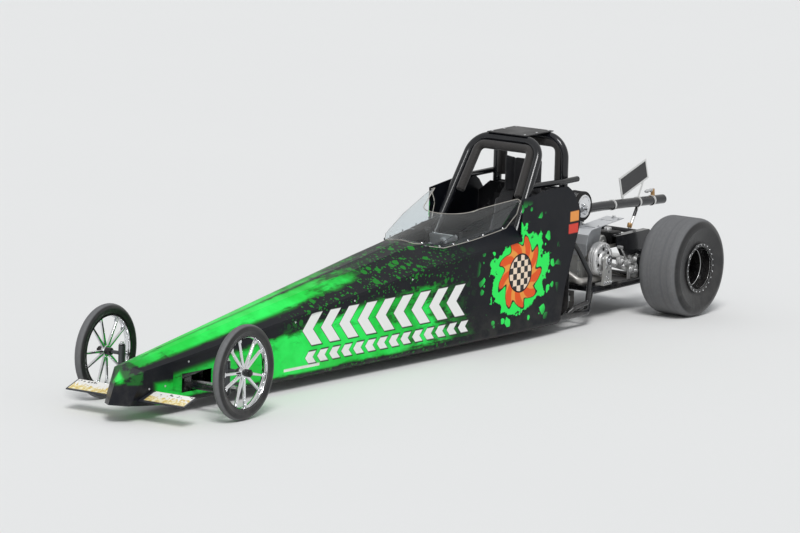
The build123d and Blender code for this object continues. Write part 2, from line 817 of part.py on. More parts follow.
# Bent guard over the clutch, outer line: distance ahead of the crank, z
guard_thickness = 2.5
guard_y = 206
guard_line = [(-125, 458), (150, 436), (178, 414), (190, 372), (188, 318)]
guard_slots = (-45, 105)
slot_y = 160
slot_length = 70
slot_width = 14
# Bracket of the guard on the crankcase: distance ahead of the crank, z
guard_bracket = [(-90, 454), (90, 440), (50, 300), (-50, 300)]
bracket_thickness = 5
with BuildPart() as clutch_guard:
    inner_line = [(x - guard_thickness, z - guard_thickness) for x, z in reversed(guard_line[1:-1])]
    inner_line.insert(0, (guard_line[-1][0] - guard_thickness, guard_line[-1][1]))
    inner_line.append((guard_line[0][0], guard_line[0][1] - guard_thickness))
    with BuildSketch(along(guard_y)):
        Polygon(*[(ahead(crank + x), z) for x, z in guard_line + inner_line], align=None)
    extrude(amount=guard_y - case_half - 2)
    with BuildSketch(along(case_half + seat_gap + bracket_thickness)):
        Polygon(*[(ahead(crank + x), z) for x, z in guard_bracket], align=None)
    extrude(amount=bracket_thickness)
    with BuildSketch(Plane.XY.offset(guard_line[2][1])) as openings:
        with Locations(*[(ahead(crank + x), slot_y) for x in guard_slots]):
            SlotOverall(slot_length, slot_width, rotation=90)
    extrude(openings.sketch, amount=far, mode=Mode.SUBTRACT)
finish("clutch_guard", clutch_guard.part)

# Chain round the two sprockets
with BuildPart() as drive_chain:
    for grow, mode in ((chain_thickness, Mode.ADD), (0.5, Mode.SUBTRACT)):
        with BuildSketch(along(chain_y + chain_width / 2)):
            with Locations((rear_axle_x, rear_axle_z)):
                Circle(rear_sprocket_radius + grow)
            with Locations((ahead(crank), crank_z)):
                Circle(clutch_sprocket_radius + grow)
            make_hull()
        extrude(amount=chain_width, mode=mode)
finish("drive_chain", drive_chain.part)

# Battery box and fuel tank behind the firewall
battery_width = 132
battery_height = 75
tank_low_z = 300
tank_height = 120
tank_depth = 138
tank_right = -140
tank_left = 40
tank_round = 12
battery_right = 20
with BuildPart() as battery_box:
    box_z = lower_rail_z + brace_radius + seat_gap
    block((ahead(bay_front - 10), battery_right, box_z),
          (ahead(cockpit_rear - 12), battery_right + battery_width, box_z + battery_height))
finish("battery_box", battery_box.part)

with BuildPart() as fuel_tank:
    block((firewall_x - tank_depth, tank_right, tank_low_z),
          (firewall_x, tank_left, tank_low_z + tank_height))
    fillet(fuel_tank.edges().filter_by(Axis.Y), tank_round)
finish("fuel_tank", fuel_tank.part)

# Boom behind the cage with its strut down to the frame and three band clamps
def boom_point(distance):
    """Point of the boom's axis behind its bend."""
    return (ahead(distance), 0, boom_z - boom_drop * (boom_front - distance) / (boom_front + boom_overhang))


boom_bend = 120
clamp_half = 6
clamp_wall = 3
with BuildPart() as boom_tube:
    start_x = cage_x - brace_radius - 4 - seat_gap
    past = 3
    tube([(start_x, 0, boom_z + boom_step), boom_point(boom_front),
          boom_point(-boom_overhang - past)], boom_radius, bend=boom_bend)
    end_x = ahead(-boom_overhang)
    block((end_x - far, -far, -far), (end_x, far, far), mode=Mode.SUBTRACT)
    for distance in boom_clamps:
        tube([boom_point(distance - clamp_half), boom_point(distance + clamp_half)],
             boom_radius + clamp_wall)
    foot_z = arch_z + brace_radius + seat_gap
    tube([boom_point(strut_top), (ahead(arch_x), 0, foot_z - brace_radius)], strut_radius)
    block((end_x, -far, -far), (end_x + far, far, foot_z), mode=Mode.SUBTRACT)
finish("boom_tube", boom_tube.part)

# Blank number board upright above the boom, tilted up towards the rear
board_length = 240
board_height = 100
board_thickness = 4
board_x = -172
board_z = 576
board_tilt = 16.5
# Straps of the board: place on the boom and place on the board, ahead of the rear axle
board_straps = ((-80, -82), (-204, -262))
strap_half = 7
strap_thickness = 3
with BuildPart() as number_board:
    with BuildSketch(along(board_thickness / 2)) as face:
        with Locations((ahead(board_x), board_z)):
            Rectangle(board_length, board_height, rotation=-board_tilt)
    extrude(face.sketch, amount=board_thickness)
    for foot_at, head_at in board_straps:
        low = boom_point(foot_at)[2]
        high = board_z - (head_at - board_x) * tan(radians(board_tilt)) - board_height / 2 + 10
        with BuildSketch(along(strap_thickness / 2)) as strap:
            Polygon(
                (ahead(foot_at - strap_half), low), (ahead(foot_at + strap_half), low),
                (ahead(head_at + strap_half), high), (ahead(head_at - strap_half), high),
                align=None,
            )
        extrude(strap.sketch, amount=strap_thickness)
    add(boom_tube.part, mode=Mode.SUBTRACT)
finish("number_board", number_board.part)

# Front axle beam with upright kingpins
boss_top_z = axle_beam_z + axle_beam_radius + 1
kingpin_top_z = front_axle_z + 35
with BuildPart() as front_axle:
    drum(front_axle_x, kingpin_half_track, axle_beam_z, axle_beam_radius, 2 * kingpin_half_track)
    for side, sign in sides:
        for radius, low, high in (
            (axle_beam_radius + 3, axle_beam_z - axle_beam_radius - 1, boss_top_z),
            (kingpin_radius, boss_top_z - 2, kingpin_top_z),
            (kingpin_radius + 5, kingpin_top_z, kingpin_top_z + 6),
        ):
            with BuildSketch(Plane.XY.offset(low)) as boss:
                with Locations((front_axle_x, sign * kingpin_half_track)):
                    Circle(radius)
            extrude(boss.sketch, amount=high - low)
finish("front_axle", front_axle.part)

# Knuckles: sleeve, stub axle and steering arm
arm_z = boss_top_z + 2
arm_thickness = 9
arm_width = 16
arm_eye_radius = 10
sleeve_radius = 15
stub_reach = 42
for side, sign in sides:
    with BuildPart() as knuckle:
        sleeve_low = boss_top_z + seat_gap
        sleeve_high = kingpin_top_z - seat_gap
        with BuildSketch(Plane.XY.offset(sleeve_low)) as sleeve:
            with Locations((front_axle_x, sign * kingpin_half_track)):
                Circle(sleeve_radius)
        extrude(sleeve.sketch, amount=sleeve_high - sleeve_low)
        with BuildSketch(Plane.XY.offset(arm_z)) as arm:
            with Locations((front_axle_x - steer_arm / 2, sign * kingpin_half_track)):
                Rectangle(steer_arm, arm_width)
            with Locations((tie_rod_x, sign * kingpin_half_track)):
                Circle(arm_eye_radius)
        extrude(arm.sketch, amount=arm_thickness)
        with BuildSketch(Plane.XY.offset(axle_beam_z - tie_rod_radius - 5)) as pin:
            with Locations((tie_rod_x, sign * kingpin_half_track)):
                Circle(tie_pin_radius)
        extrude(pin.sketch, amount=arm_z - axle_beam_z + tie_rod_radius + 7)
        stub_end = front_half_track + stub_reach
        drum(front_axle_x, sign * kingpin_half_track if sign < 0 else stub_end, front_axle_z,
             stub_radius, stub_end - kingpin_half_track)
        with BuildSketch(Plane.XY.offset(sleeve_low)) as bore:
            with Locations((front_axle_x, sign * kingpin_half_track)):
                Circle(kingpin_radius + running_gap)
        extrude(bore.sketch, amount=sleeve_high - sleeve_low, mode=Mode.SUBTRACT)
    finish(f"knuckle_{side}", knuckle.part)

# Tie rod with an eye at each end and a slotted tab for the pitman pin
eye_radius = 9
slot_half = 5.2
tab_half = 16
tab_thickness = 8
tab_low = 12
tab_high = 20
tab_wall = 5
eye_half = tie_rod_radius + 1.5
with BuildPart() as tie_rod:
    drum(tie_rod_x, kingpin_half_track, axle_beam_z, tie_rod_radius, 2 * kingpin_half_track)
    for side, sign in sides:
        with BuildSketch(Plane.XY.offset(axle_beam_z - eye_half)) as eye:
            with Locations((tie_rod_x, sign * kingpin_half_track)):
                Circle(eye_radius)
        extrude(eye.sketch, amount=2 * eye_half)
        with BuildSketch(Plane.XY.offset(axle_beam_z - eye_half - 1)) as hole:
            with Locations((tie_rod_x, sign * kingpin_half_track)):
                Circle(tie_pin_radius + running_gap)
        extrude(hole.sketch, amount=2 * eye_half + 2, mode=Mode.SUBTRACT)
    block((tie_rod_x - tab_thickness / 2, -tab_half, axle_beam_z - tab_low),
          (tie_rod_x + tab_thickness / 2, tab_half, axle_beam_z + tab_high))
    block((tie_rod_x - tab_thickness, -slot_half, axle_beam_z - tab_low + tab_wall),
          (tie_rod_x + tab_thickness, slot_half, axle_beam_z + tab_high - tab_wall),
          mode=Mode.SUBTRACT)
finish("tie_rod", tie_rod.part)

# Steering shaft, with the pitman arm whose pin runs in the tie rod's slot
pitman_pin_radius = 4
pitman_half_length = 5
pitman_half_width = 8
shaft_start = (ahead(wheel_x), 0, wheel_z)
shaft_end = (pitman_x, 0, column_z(pitman_x))
with BuildPart() as steering_shaft:
    tube([shaft_start, shaft_end], column_radius)
    block((pitman_x - pitman_half_length, -pitman_half_width, axle_beam_z - pitman_half_width),
          (pitman_x + pitman_half_length, pitman_half_width, shaft_end[2]))
    with BuildSketch(across(pitman_x)) as pin:
        with Locations((0, axle_beam_z)):
            Circle(pitman_pin_radius)
    extrude(pin.sketch, amount=pitman_gap + tab_thickness)
finish("steering_shaft", steering_shaft.part)

shaft_axis = (Vector(*shaft_end) - Vector(*shaft_start)).normalized()
wheel_plane = Plane(origin=shaft_start, x_dir=(0, 1, 0), z_dir=shaft_axis)
grip_radius = 11
grip_half_length = 50
wheel_thickness = 10
wheel_disc_radius = 72
wheel_plate = (194, 56)
wheel_window = (120, 46)
with BuildPart() as steering_wheel:
    with BuildSketch(wheel_plane.offset(-wheel_thickness - seat_gap)):
        Circle(wheel_disc_radius)
        Rectangle(*wheel_plate)
        with Locations((0, -steering_wheel_radius / 2), (0, steering_wheel_radius / 2)):
            Rectangle(*wheel_window, mode=Mode.SUBTRACT)
    extrude(amount=wheel_thickness)
    grip_plane = wheel_plane.offset(-wheel_thickness / 2 - seat_gap)
    for sign in (1, -1):
        grip_y = sign * (steering_wheel_radius - 24)
        tube([tuple(grip_plane.from_local_coords(Vector(grip_y, reach, 0)))
              for reach in (-grip_half_length, grip_half_length)], grip_radius)
finish("steering_wheel", steering_wheel.part)

# Front wheels
hub_half_width = 32
hub_radius = 20
rim_half_width = 17
rim_ring = 12
spoke_width = 9
spoke_thickness = 8
tyre_wall = 16
for side, sign in sides:
    centre_y = sign * front_half_track
    with BuildPart() as front_rim:
        rim_y = centre_y + rim_half_width
        drum(front_axle_x, rim_y, front_axle_z, front_rim_radius - seat_gap, 2 * rim_half_width)
        drum(front_axle_x, rim_y + 1, front_axle_z, front_rim_radius - rim_ring, 2 * rim_half_width + 2,
             mode=Mode.SUBTRACT)
        drum(front_axle_x, centre_y + hub_half_width, front_axle_z, hub_radius, 2 * hub_half_width)
        spoke_length = front_rim_radius - 10 - hub_radius + 6
        with BuildSketch(along(centre_y + spoke_thickness / 2)) as spokes:
            for pair in range(spoke_pairs):
                for lean in (-spoke_spread, spoke_spread):
                    angle = 90 + pair * 360 / spoke_pairs + lean
                    middle = hub_radius - 6 + spoke_length / 2
                    spot = (front_axle_x + middle * cos(radians(angle)),
                            front_axle_z + middle * sin(radians(angle)))
                    with Locations(Location((spot[0], spot[1], 0), (0, 0, angle))):
                        Rectangle(spoke_length, spoke_width)
        extrude(spokes.sketch, amount=spoke_thickness)
        drum(front_axle_x, centre_y + hub_half_width + 1, front_axle_z, stub_radius + running_gap,
             2 * hub_half_width + 2, mode=Mode.SUBTRACT)
    finish(f"front_rim_{side}", front_rim.part)
    with BuildPart() as front_tyre:
        half = front_tyre_width / 2
        with BuildSketch(Plane(origin=(front_axle_x, centre_y, front_axle_z), x_dir=(0, 1, 0),
                               z_dir=(1, 0, 0))):
            with BuildLine():
                low = front_rim_radius
                high = low + tyre_wall
                Polyline((-rim_half_width, low), (rim_half_width, low), (half, high))
                ThreePointArc((half, high), (0, front_tyre_radius), (-half, high))
                Line((-half, high), (-rim_half_width, low))
            make_face()
        revolve(axis=Axis((front_axle_x, centre_y, front_axle_z), (0, 1, 0)))
    finish(f"front_tyre_{side}", front_tyre.part)

# Rear axle with hubs and brake disc
hub_inner = rear_half_track - rear_tyre_width / 2 - 42
wheel_hub_radius = 34
wheel_hub_length = 40
disc_y = -128
disc_radius = 84
disc_thickness = 6
disc_hub_radius = 30
carrier_width = 24
with BuildPart() as rear_axle:
    drum(rear_axle_x, rear_half_track, rear_axle_z, rear_axle_radius, 2 * rear_half_track)
    for side, sign in sides:
        hub_y = sign * hub_inner
        drum(rear_axle_x, hub_y + wheel_hub_length if sign > 0 else hub_y, rear_axle_z,
             wheel_hub_radius, wheel_hub_length)
    drum(rear_axle_x, disc_y, rear_axle_z, disc_radius, disc_thickness)
    drum(rear_axle_x, disc_y + carrier_width / 2, rear_axle_z, disc_hub_radius, carrier_width)
finish("rear_axle", rear_axle.part)

sprocket_hub_radius = 32
sprocket_hub_width = 24
with BuildPart() as rear_sprocket:
    drum(rear_axle_x, chain_y + disc_thickness / 2, rear_axle_z, rear_sprocket_radius,
         disc_thickness)
    drum(rear_axle_x, chain_y + sprocket_hub_width / 2, rear_axle_z, sprocket_hub_radius,
         sprocket_hub_width)
    drum(rear_axle_x, chain_y + sprocket_hub_width, rear_axle_z, rear_axle_radius + seat_gap,
         2 * sprocket_hub_width, mode=Mode.SUBTRACT)
finish("rear_sprocket", rear_sprocket.part)

# Rear wheels: a stepped, deep barrel with its centre near the inner side
barrel_radius = 104
barrel_wall = 5
step_radius = 88
cup_radius = 70
cup_wall = 8
bead_width = 4
bead_inset = 8
for side, sign in sides:
    def spot(outward, radius):
        """Point of the wheel's section, outward from its middle."""
        return (sign * outward, radius)

    half = rear_tyre_width / 2
    hub_plane = hub_inner + wheel_hub_length - rear_half_track
    inner = barrel_radius - barrel_wall
    wheel_plane = Plane(origin=(rear_axle_x, sign * rear_half_track, rear_axle_z),
                        x_dir=(0, 1, 0), z_dir=(1, 0, 0))
    wheel_axis = Axis((rear_axle_x, sign * rear_half_track, rear_axle_z), (0, 1, 0))
    with BuildPart() as rear_rim:
        with BuildSketch(wheel_plane):
            Polygon(
                spot(-half + bead_inset, rear_rim_radius),
                spot(-half + bead_inset + bead_width, rear_rim_radius),
                spot(-half + bead_inset + bead_width, barrel_radius),
                spot(half - bead_inset - bead_width, barrel_radius),
                spot(half - bead_inset - bead_width, rear_rim_radius),
                spot(half - bead_inset, rear_rim_radius), spot(half - bead_inset, inner),
                spot(half - 60, inner), spot(half - 60, step_radius), spot(-half + 60, step_radius),
                spot(-half + 40, cup_radius), spot(hub_plane + 10, cup_radius),
                spot(hub_plane + 10, rear_axle_radius + seat_gap),
                spot(hub_plane, rear_axle_radius + seat_gap),
                spot(hub_plane, cup_radius + cup_wall), spot(-half + 36, step_radius + 4),
                spot(-half + 36, inner), spot(-half + bead_inset, inner), align=None,
            )
        revolve(axis=wheel_axis)
    finish(f"rear_rim_{side}", rear_rim.part)
    with BuildPart() as rear_tyre:
        with BuildSketch(wheel_plane):
            seat_radius = barrel_radius + seat_gap
            shoulder = rear_tyre_radius - rear_shoulder_radius
            with BuildLine():
                foot = half - bead_inset - bead_width - 1
                Polyline(spot(-half, shoulder), spot(-foot, rear_rim_radius + 4),
                         spot(-foot, seat_radius), spot(foot, seat_radius),
                         spot(foot, rear_rim_radius + 4), spot(half, shoulder))
                turn = rear_shoulder_radius * (1 - sqrt(0.5))
                flat = half - rear_shoulder_radius
                ThreePointArc(spot(half, shoulder), spot(half - turn, rear_tyre_radius - turn),
                              spot(flat, rear_tyre_radius))
                Line(spot(flat, rear_tyre_radius), spot(-flat, rear_tyre_radius))
                ThreePointArc(spot(-flat, rear_tyre_radius),
                              spot(-half + turn, rear_tyre_radius - turn), spot(-half, shoulder))
            make_face()
        revolve(axis=wheel_axis)
    finish(f"rear_tyre_{side}", rear_tyre.part)
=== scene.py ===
import math
import bpy
from mathutils import Matrix, Vector


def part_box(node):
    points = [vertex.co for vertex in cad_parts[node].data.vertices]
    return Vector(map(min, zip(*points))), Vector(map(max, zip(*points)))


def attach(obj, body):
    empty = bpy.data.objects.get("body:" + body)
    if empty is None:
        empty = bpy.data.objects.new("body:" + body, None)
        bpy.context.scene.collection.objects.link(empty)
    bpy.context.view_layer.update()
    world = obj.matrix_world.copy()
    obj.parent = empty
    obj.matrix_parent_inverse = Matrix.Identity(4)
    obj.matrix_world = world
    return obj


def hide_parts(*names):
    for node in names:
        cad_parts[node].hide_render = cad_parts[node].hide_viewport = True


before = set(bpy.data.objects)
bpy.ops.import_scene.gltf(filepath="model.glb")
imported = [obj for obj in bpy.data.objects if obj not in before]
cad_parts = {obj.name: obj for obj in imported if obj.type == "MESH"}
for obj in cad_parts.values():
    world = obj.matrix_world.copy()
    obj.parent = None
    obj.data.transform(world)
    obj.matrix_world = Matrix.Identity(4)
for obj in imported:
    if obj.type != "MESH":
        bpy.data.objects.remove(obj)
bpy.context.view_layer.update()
print("frame loaded")

rearAxle = (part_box("rear_axle")[0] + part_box("rear_axle")[1]) / 2
frontWheel = (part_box("front_tyre_left")[0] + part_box("front_tyre_left")[1]) / 2


def ahead(metres):
    return rearAxle.x + metres  # the drawing counts lengths from the rear axle


# Camera and light

shot = {
    "place": (ahead(23.83), 15.0, 4.98),
    "turn": -145.81,
    "tilt": -9.74,
    "roll": 1.62,
    "lens": 275.6,
}

studio = {
    "floorSide": 260.0,
    "floorColour": (0.80, 0.80, 0.79, 1),
    "skyColour": (0.93, 0.96, 1.0, 1),
    "skyLevel": 0.50,
    "backLevel": 0.90,
    "sunLevel": 2.1,
    "sunSpread": 22.0,
    "sunTurn": (38.0, 0.0, 128.0),
}


def setCamera():
    turn, tilt, roll = (math.radians(shot[k]) for k in ("turn", "tilt", "roll"))
    aim = Vector((math.cos(tilt) * math.cos(turn), math.cos(tilt) * math.sin(turn), math.sin(tilt)))
    side = aim.cross(Vector((0, 0, 1))).normalized()
    top = side.cross(aim)
    right = side * math.cos(roll) + top * math.sin(roll)
    up = top * math.cos(roll) - side * math.sin(roll)
    lens = bpy.data.cameras.new("shot")
    lens.lens = shot["lens"]
    lens.sensor_width = 36
    lens.clip_end = 400
    camera = bpy.data.objects.new("shot", lens)
    bpy.context.scene.collection.objects.link(camera)
    facing = Matrix((right, up, -aim)).transposed().to_4x4()
    camera.matrix_world = Matrix.Translation(shot["place"]) @ facing
    bpy.context.scene.camera = camera


def setLight():
    # the sky lights the car, while the camera, reflections and glass see the pale studio
    world = bpy.data.worlds.new("studio")
    bpy.context.scene.world = world
    world.use_nodes = True
    tree = world.node_tree
    tree.nodes.clear()
    ray = tree.nodes.new("ShaderNodeLightPath").outputs
    through = calc(tree, "MAXIMUM", ray["Is Glossy Ray"], ray["Is Transmission Ray"])
    seen = calc(tree, "MAXIMUM", ray["Is Camera Ray"], through)
    lights = [place(tree, "ShaderNodeBackground", {"Color": studio[colour], "Strength": studio[level]})
              for colour, level in (("skyColour", "skyLevel"), ("floorColour", "backLevel"))]
    both = place(tree, "ShaderNodeMixShader", {0: seen, 1: lights[0].outputs[0], 2: lights[1].outputs[0]})
    place(tree, "ShaderNodeOutputWorld", {"Surface": both.outputs[0]})
    sun = bpy.data.lights.new("keyLight", "SUN")
    sun.energy = studio["sunLevel"]
    sun.angle = math.radians(studio["sunSpread"])
    lamp = bpy.data.objects.new("keyLight", sun)
    lamp.rotation_euler = [math.radians(a) for a in studio["sunTurn"]]
    bpy.context.scene.collection.objects.link(lamp)
    bpy.context.scene.view_settings.view_transform = "Standard"


# Working helpers

def spot(x, y, z):
    # a point, its length counted ahead of the rear axle
    return Vector((ahead(x), y, z))


def clearPick():
    if bpy.context.object and bpy.context.object.mode != "OBJECT":
        bpy.ops.object.mode_set(mode="OBJECT")
    bpy.ops.object.select_all(action="DESELECT")


def pick(*things):
    clearPick()
    for thing in things:
        thing.select_set(True)
    bpy.context.view_layer.objects.active = things[0]


def made(name):
    thing = bpy.context.object
    thing.name = name
    thing.data.name = name
    return thing


def settle(thing):
    pick(thing)
    bpy.ops.object.transform_apply(location=True, rotation=True, scale=True)
    return thing


def openAll(thing):
    # edit mode with everything selected
    pick(thing)
    bpy.ops.object.mode_set(mode="EDIT")
    bpy.ops.mesh.select_all(action="SELECT")


def pickFaces(thing, test):
    # opens edit mode with just the faces that pass the test
    pick(thing)
    bpy.context.tool_settings.mesh_select_mode = (False, False, True)
    bpy.ops.object.mode_set(mode="EDIT")
    bpy.ops.mesh.select_all(action="DESELECT")
    bpy.ops.object.mode_set(mode="OBJECT")
    for face in thing.data.polygons:
        face.select = bool(test(face.center, face.normal))
    bpy.ops.object.mode_set(mode="EDIT")


def doneEditing():
    bpy.ops.object.mode_set(mode="OBJECT")


def insetFaces(thing, test, margin, shift):
    # raises or sinks a field inside the faces that pass the test
    pickFaces(thing, test)
    bpy.ops.mesh.inset(thickness=margin)
    bpy.ops.transform.translate(value=shift)
    doneEditing()


def useModifier(thing, kind, **values):
    modifier = thing.modifiers.new(kind.lower(), kind)
    for key, value in values.items():
        setattr(modifier, key, value)
    pick(thing)
    bpy.ops.object.modifier_apply(modifier=modifier.name)
    return thing


def smoothed(thing, angle=38):
    # round shading with edges sharp above the angle, or all over where the angle is None
    pick(thing)
    if angle:
        bpy.ops.object.shade_smooth_by_angle(angle=math.radians(angle))
    else:
        bpy.ops.object.shade_smooth()
    return thing


def softEdges(thing, width, segments=2, angle=30):
    useModifier(thing, "BEVEL", width=width, segments=segments, limit_method="ANGLE",
                angle_limit=math.radians(angle))
    return smoothed(thing)


def closeUp(thing):
    openAll(thing)
    bpy.ops.mesh.remove_doubles(threshold=0.00002)
    bpy.ops.mesh.normals_make_consistent(inside=False)
    doneEditing()
    return thing


def turned(thing, axis, degrees):
    thing.data.transform(Matrix.Rotation(math.radians(degrees), 4, axis))
    return thing


def moved(thing, by):
    thing.data.transform(Matrix.Translation(by))
    return thing


def copied(thing, name):
    twin = thing.copy()
    twin.data = thing.data.copy()
    twin.name = name
    twin.data.name = name
    bpy.context.scene.collection.objects.link(twin)
    return twin


def joined(things, name):
    pick(*things)
    if len(things) > 1:
        bpy.ops.object.join()
    return made(name)


def mirrored(thing, name):
    # a copy on the car's other side
    twin = copied(thing, name)
    twin.data.transform(Matrix.Scale(-1, 4, (0, 1, 0)))
    return closeUp(twin)


def bar(name, low, high, bevel=0.0015):
    # block between two corners, a start for a shaped piece
    low, high = Vector(low), Vector(high)
    clearPick()
    bpy.ops.mesh.primitive_cube_add(size=1, location=(low + high) / 2)
    thing = made(name)
    thing.scale = high - low
    settle(thing)
    return softEdges(thing, bevel) if bevel else thing


def rod(name, start, end, radius, sides=24, bevel=0.0, tip=None):
    # round piece between two points
    start, end = Vector(start), Vector(end)
    clearPick()
    bpy.ops.mesh.primitive_cone_add(vertices=sides, radius1=radius, radius2=radius if tip is None else tip,
                                    depth=(end - start).length, location=(0, 0, 0))
    thing = made(name)
    turn = (end - start).to_track_quat("Z", "Y").to_matrix().to_4x4()
    thing.data.transform(Matrix.Translation((start + end) / 2) @ turn)
    return softEdges(thing, bevel) if bevel else smoothed(thing)


def ringAcross(name, centre, major, minor, sides=64, around=12):
    # ring whose axle points across the car
    clearPick()
    bpy.ops.mesh.primitive_torus_add(major_segments=sides, minor_segments=around, major_radius=major,
                                     minor_radius=minor, location=(0, 0, 0))
    return smoothed(moved(turned(made(name), "X", 90), centre), None)


def spun(name, profile, centre, steps=72):
    # turns a closed outline of (outward, radius) pairs about an axle that points across the car
    mesh = bpy.data.meshes.new(name)
    count = len(profile)
    mesh.from_pydata([(centre[0], centre[1] + y, centre[2] + r) for y, r in profile],
                     [(i, (i + 1) % count) for i in range(count)], [])
    thing = bpy.data.objects.new(name, mesh)
    bpy.context.scene.collection.objects.link(thing)
    openAll(thing)
    bpy.ops.mesh.spin(steps=steps, angle=math.tau, center=centre, axis=(0, 1, 0))
    doneEditing()
    return smoothed(closeUp(thing), 30)


def hose(name, points, radius, sides=7):
    # smooth bent tube along its control points
    clearPick()
    bpy.ops.curve.primitive_nurbs_path_add(location=(0, 0, 0))
    thing = made(name)
    spline = thing.data.splines[0]
    spline.points.add(max(0, len(points) - len(spline.points)))
    if len(points) < len(spline.points):
        thing.data.splines.remove(spline)
        spline = thing.data.splines.new("NURBS")
        spline.points.add(len(points) - 1)
    for point, at in zip(spline.points, points):
        point.co = (*at, 1)
    spline.order_u = 3
    spline.use_endpoint_u = True
    thing.data.dimensions = "3D"
    thing.data.resolution_u = 8
    thing.data.bevel_depth = radius
    thing.data.bevel_resolution = sides - 4
    thing.data.use_fill_caps = True
    pick(thing)
    bpy.ops.object.convert(target="MESH")
    return smoothed(closeUp(settle(made(name))), 45)


def hexBolt(name, radius, height, washer=True):
    # six-sided head on a washer, standing on the origin along Z
    parts = []
    if washer:
        parts.append(rod(name + "Washer", (0, 0, 0), (0, 0, height * 0.25), radius * 1.45, sides=20))
    clearPick()
    bpy.ops.mesh.primitive_cylinder_add(vertices=6, radius=radius, depth=height,
                                        location=(0, 0, height * 0.6))
    head = settle(made(name + "Head"))
    insetFaces(head, lambda c, n: n.z > 0.9, radius * 0.12, (0, 0, height * 0.12))
    parts.append(softEdges(head, radius * 0.06, segments=1))
    return joined(parts, name)


def leftBolt(name, radius, height, at):
    # a hex head that faces left
    return moved(turned(hexBolt(name, radius, height), "X", -90), at)


def buttonBolt(name, radius, height):
    # domed head with a driver recess
    clearPick()
    bpy.ops.mesh.primitive_uv_sphere_add(segments=14, ring_count=8, radius=radius, location=(0, 0, 0))
    head = settle(made(name))
    openAll(head)
    bpy.ops.mesh.bisect(plane_co=(0, 0, 0), plane_no=(0, 0, 1), clear_inner=True, use_fill=True)
    bpy.ops.mesh.select_all(action="SELECT")
    bpy.ops.transform.resize(value=(1, 1, height / radius))
    doneEditing()
    insetFaces(head, lambda c, n: c.z > height * 0.86, radius * 0.08, (0, 0, -height * 0.35))
    return smoothed(head, 40)


def circleOf(count, radius, start=0.0):
    # points on a circle in the side view
    angles = [math.radians(start) + math.tau * index / count for index in range(count)]
    return [Vector((math.cos(a), 0, math.sin(a))) * radius for a in angles]


def scattered(master, name, places):
    # copies of a small part at places given as (point, direction); the part itself is used up
    things = []
    for index, (point, way) in enumerate(places):
        twin = copied(master, f"{name}{index}")
        turn = Vector(way).to_track_quat("Z", "Y").to_matrix().to_4x4()
        twin.data.transform(Matrix.Translation(point) @ turn)
        things.append(twin)
    bpy.data.objects.remove(master)
    return joined(things, name)


def finishPiece(parts, name, look, stands=(), body="chassis"):
    # joins what belongs together, gives it its finish and fixes it to its body
    thing = joined(parts, name)
    thing.data.materials.clear()
    thing.data.materials.append(finish[look])
    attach(thing, body)
    if stands:
        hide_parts(*stands)
    return thing


# Shader helpers and shared effects

def place(tree, kind, inputs=None, **settings):
    node = tree.nodes.new(kind)
    for key, value in settings.items():
        setattr(node, key, value)
    for key, value in (inputs or {}).items():
        if isinstance(value, bpy.types.NodeSocket):
            tree.links.new(value, node.inputs[key])
        else:
            node.inputs[key].default_value = value
    return node


def calc(tree, operation, a, b=0.0, c=0.0, clamp=False):
    node = place(tree, "ShaderNodeMath", {0: a, 1: b, 2: c}, operation=operation, use_clamp=clamp)
    return node.outputs[0]


def ramped(tree, value, low, high, toLow=0.0, toHigh=1.0, kind="SMOOTHSTEP"):
    node = place(tree, "ShaderNodeMapRange", {"Value": value, "From Min": low, "From Max": high,
                                              "To Min": toLow, "To Max": toHigh}, interpolation_type=kind)
    return node.outputs["Result"]


def mixed(tree, share, first, second):
    return place(tree, "ShaderNodeMix", {0: share, 6: first, 7: second}, data_type="RGBA").outputs[2]


def shaded(colour, share):
    return tuple(c * share for c in colour[:3]) + (1,)


def noise(tree, vector, scale, detail, rough=0.5):
    return place(tree, "ShaderNodeTexNoise", {"Vector": vector, "Scale": scale, "Detail": detail,
                                              "Roughness": rough}).outputs["Fac"]


def axes(tree, vector):
    return place(tree, "ShaderNodeSeparateXYZ", {0: vector}).outputs


def drawnOut(tree, vector, share):
    # stretches a pattern along the car
    return place(tree, "ShaderNodeMapping", {"Vector": vector, "Scale": (share, 1.0, 1.0)}).outputs[0]


def reachOf(tree, dx, dz):
    return calc(tree, "SQRT", calc(tree, "MULTIPLY_ADD", dx, dx, calc(tree, "MULTIPLY", dz, dz)))


def startGroup(name, values, outputs):
    # an effect on a vector, with named values to set
    tree = bpy.data.node_groups.new(name, "ShaderNodeTree")
    tree.interface.new_socket("Vector", in_out="INPUT", socket_type="NodeSocketVector")
    for label, value in values.items():
        kind = "NodeSocketColor" if isinstance(value, tuple) else "NodeSocketFloat"
        tree.interface.new_socket(label, in_out="INPUT", socket_type=kind).default_value = value
    for label in outputs:
        kind = "NodeSocketColor" if label == "Color" else "NodeSocketFloat"
        tree.interface.new_socket(label, in_out="OUTPUT", socket_type=kind)
    return tree, tree.nodes.new("NodeGroupInput").outputs, tree.nodes.new("NodeGroupOutput").inputs


def useGroup(tree, group, vector, **values):
    return place(tree, "ShaderNodeGroup", {"Vector": vector, **values}, node_tree=group).outputs


def makeGrain():
    # small bumps and a slow change of shade
    tree, come, go = startGroup("fineGrain", {"Scale": 300.0}, ["Height", "Shade"])
    tree.links.new(noise(tree, come["Vector"], come["Scale"], 3.0), go["Height"])
    slowScale = calc(tree, "MULTIPLY", come["Scale"], 0.02)
    tree.links.new(noise(tree, come["Vector"], slowScale, 4.0), go["Shade"])
    return tree


